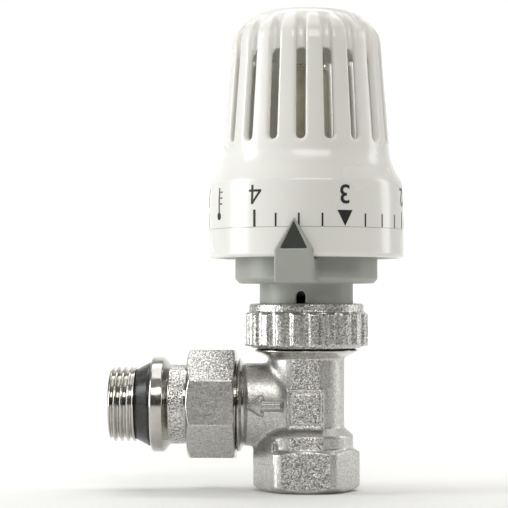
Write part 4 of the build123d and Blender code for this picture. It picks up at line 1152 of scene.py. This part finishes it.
# a flush grey ring runs round the skirt at the foot of the scale: painted shade that stands in for a fine
# groove, which the skirt itself does not have
GROOVE_SHADE_STEPS = 144
GROOVE_SHADE_SECTION = [(27.1, 72.82), (27.27, 72.82), (27.27, 72.98), (27.1, 72.98)]
groove_shade_angles = np.linspace(0, 2 * math.pi, GROOVE_SHADE_STEPS + 1)[:-1]
points = [(r * math.sin(a), -r * math.cos(a), z) for a in groove_shade_angles for r, z in GROOVE_SHADE_SECTION]
quads = []
for step in range(GROOVE_SHADE_STEPS):
    here, there = 4 * step, 4 * ((step + 1) % GROOVE_SHADE_STEPS)
    quads += [(here + k, there + k, there + (k + 1) % 4, here + (k + 1) % 4) for k in range(4)]
shown("skirt_groove_painted_shade", points, quads, [GREY], "handwheel", "handwheel")


# ------------------------------------------------------------------ sensor

SENSOR_R, SENSOR_BAND_R = 5.8, 6.3
BAND_BOTTOM, BAND_TOP = 96.5, 98.9
SENSOR_RIM_R = 4.8
sensor_outline = [
    (0, 97.0), (4.4, BAND_BOTTOM), (SENSOR_BAND_R, BAND_BOTTOM), (SENSOR_BAND_R, BAND_TOP),
    (SENSOR_R, 99.2), (SENSOR_R, 117.2), (5.5, 117.6), (SENSOR_R, 118.1), (SENSOR_BAND_R, 118.3),
    (SENSOR_BAND_R, SENSOR_TOP - 0.05), (SENSOR_RIM_R, SENSOR_TOP - 0.05), (SENSOR_RIM_R, 118.2),
    (2.0, 117.6), (0, 117.6),
]


def sensor_faces(x, y, z, nx, ny, nz):
    """1 on the bright rim at the top and 0 on the can."""
    return np.where((z > 118.0) & (np.hypot(x, y) > 4.5), 1, 0)


points, quads = contour(
    round_z(Lathe(sensor_outline, 0.1)),
    (
        np.array([0.0]),
        lines(0.2, (4.2, 0.6), (6.7, 0.15)),
        lines(96.0, (99.6, 0.2), (116.6, 1.4), (119.7, 0.15)),
    ),
    about_z,
    72,
)
sensor = shown("sensor_can", points, quads, [OLIVE, BRIGHT_RIM], "carrier", "sensor")
paint(sensor, sensor_faces)


# ------------------------------------------------------------------ camera, light and floor

def area_light(name, place, target, size, power, colour=(1, 1, 1)):
    """A rectangular light at a place in metres, turned to its target."""
    data = bpy.data.lights.new(name, "AREA")
    data.shape = "RECTANGLE"
    data.size, data.size_y = size
    data.energy = power
    data.color = colour
    lamp = bpy.data.objects.new(name, data)
    bpy.context.scene.collection.objects.link(lamp)
    lamp.location = place
    lamp.rotation_euler = (Vector(target) - Vector(place)).to_track_quat("-Z", "Y").to_euler()


def sweep(name, half_width, front, back, height, bend):
    """Pale floor that curves up into a wall behind the object."""
    turns = 16
    path = [(front, 0.0)]
    for step in range(turns + 1):
        angle = math.pi / 2 * step / turns
        path.append((back - bend + bend * math.sin(angle), bend - bend * math.cos(angle)))
    path.append((back, height))
    verts = [(x, y, z) for y, z in path for x in (-half_width, half_width)]
    faces = [(2 * n, 2 * n + 1, 2 * n + 3, 2 * n + 2) for n in range(len(path) - 1)]
    mesh = bpy.data.meshes.new(name)
    mesh.from_pydata(verts, [], faces)
    for face in mesh.polygons:
        face.use_smooth = True
    board = bpy.data.objects.new(name, mesh)
    bpy.context.scene.collection.objects.link(board)
    m = Nodes(name + "_paint", Roughness=0.85)
    m.colour(m.noise(300, 2), (0.3, (0.80, 0.80, 0.79)), (0.7, (0.84, 0.84, 0.83)))
    mesh.materials.append(m.material)


def room(stops, strength):
    """World light that changes from the floor's colour below to the ceiling's above."""
    world = bpy.data.worlds.new("studio")
    bpy.context.scene.world = world
    world.use_nodes = True
    tree = world.node_tree
    direction = tree.nodes.new("ShaderNodeTexCoord")
    split = tree.nodes.new("ShaderNodeSeparateXYZ")
    to_unit = tree.nodes.new("ShaderNodeMapRange")
    shade = tree.nodes.new("ShaderNodeValToRGB")
    to_unit.inputs["From Min"].default_value = -1
    tree.links.new(direction.outputs["Generated"], split.inputs[0])
    tree.links.new(split.outputs["Z"], to_unit.inputs["Value"])
    tree.links.new(to_unit.outputs["Result"], shade.inputs["Fac"])
    while len(shade.color_ramp.elements) < len(stops):
        shade.color_ramp.elements.new(0.5)
    for element, (position, colour) in zip(shade.color_ramp.elements, stops):
        element.position = position
        element.color = (*colour, 1)
    tree.links.new(shade.outputs["Color"], tree.nodes["Background"].inputs["Color"])
    tree.nodes["Background"].inputs["Strength"].default_value = strength


sweep("studio_sweep", half_width=1.6, front=-1.4, back=0.9, height=1.6, bend=0.4)
room(
    [
        (0.0, (0.30, 0.30, 0.28)),
        (0.46, (0.10, 0.095, 0.075)),
        (0.56, (0.13, 0.12, 0.095)),
        (0.66, (0.30, 0.30, 0.29)),
        (0.8, (0.74, 0.70, 0.63)),
        (1.0, (0.92, 0.89, 0.83)),
    ],
    strength=0.34,
)

HEAD = (0, 0, 0.085)
area_light("window", (-0.66, -0.08, 0.16), (0, 0, 0.09), (0.26, 0.6), 4.2, (0.96, 0.98, 1.0))
area_light("front", (0.12, -0.8, 0.60), HEAD, (0.8, 0.25), 3.3, (1.0, 0.99, 0.97))
area_light("right", (0.65, 0.2, 0.25), HEAD, (0.2, 0.45), 1.0)
area_light("top", (0.0, 0.0, 0.75), HEAD, (0.6, 0.6), 1.5)
area_light("backdrop", (0.0, 0.30, 0.75), (0, 0.9, 0.15), (1.2, 0.4), 5.5)

DISTANCE = 0.55
FIELD_WIDTH = 0.1427
FILM_WIDTH = 36
AIM = Vector((-0.0147, 0, 0.0662))
camera_data = bpy.data.cameras.new("camera")
camera_data.sensor_width = FILM_WIDTH
camera_data.lens = FILM_WIDTH * DISTANCE / FIELD_WIDTH
camera_data.clip_start, camera_data.clip_end = 0.01, 20
camera = bpy.data.objects.new("camera", camera_data)
camera.location = (0.008, -DISTANCE, 0.053)
camera.rotation_euler = (AIM - camera.location).to_track_quat("-Z", "Y").to_euler()
bpy.context.scene.collection.objects.link(camera)
bpy.context.scene.camera = camera
bpy.context.scene.view_settings.view_transform = "Standard"
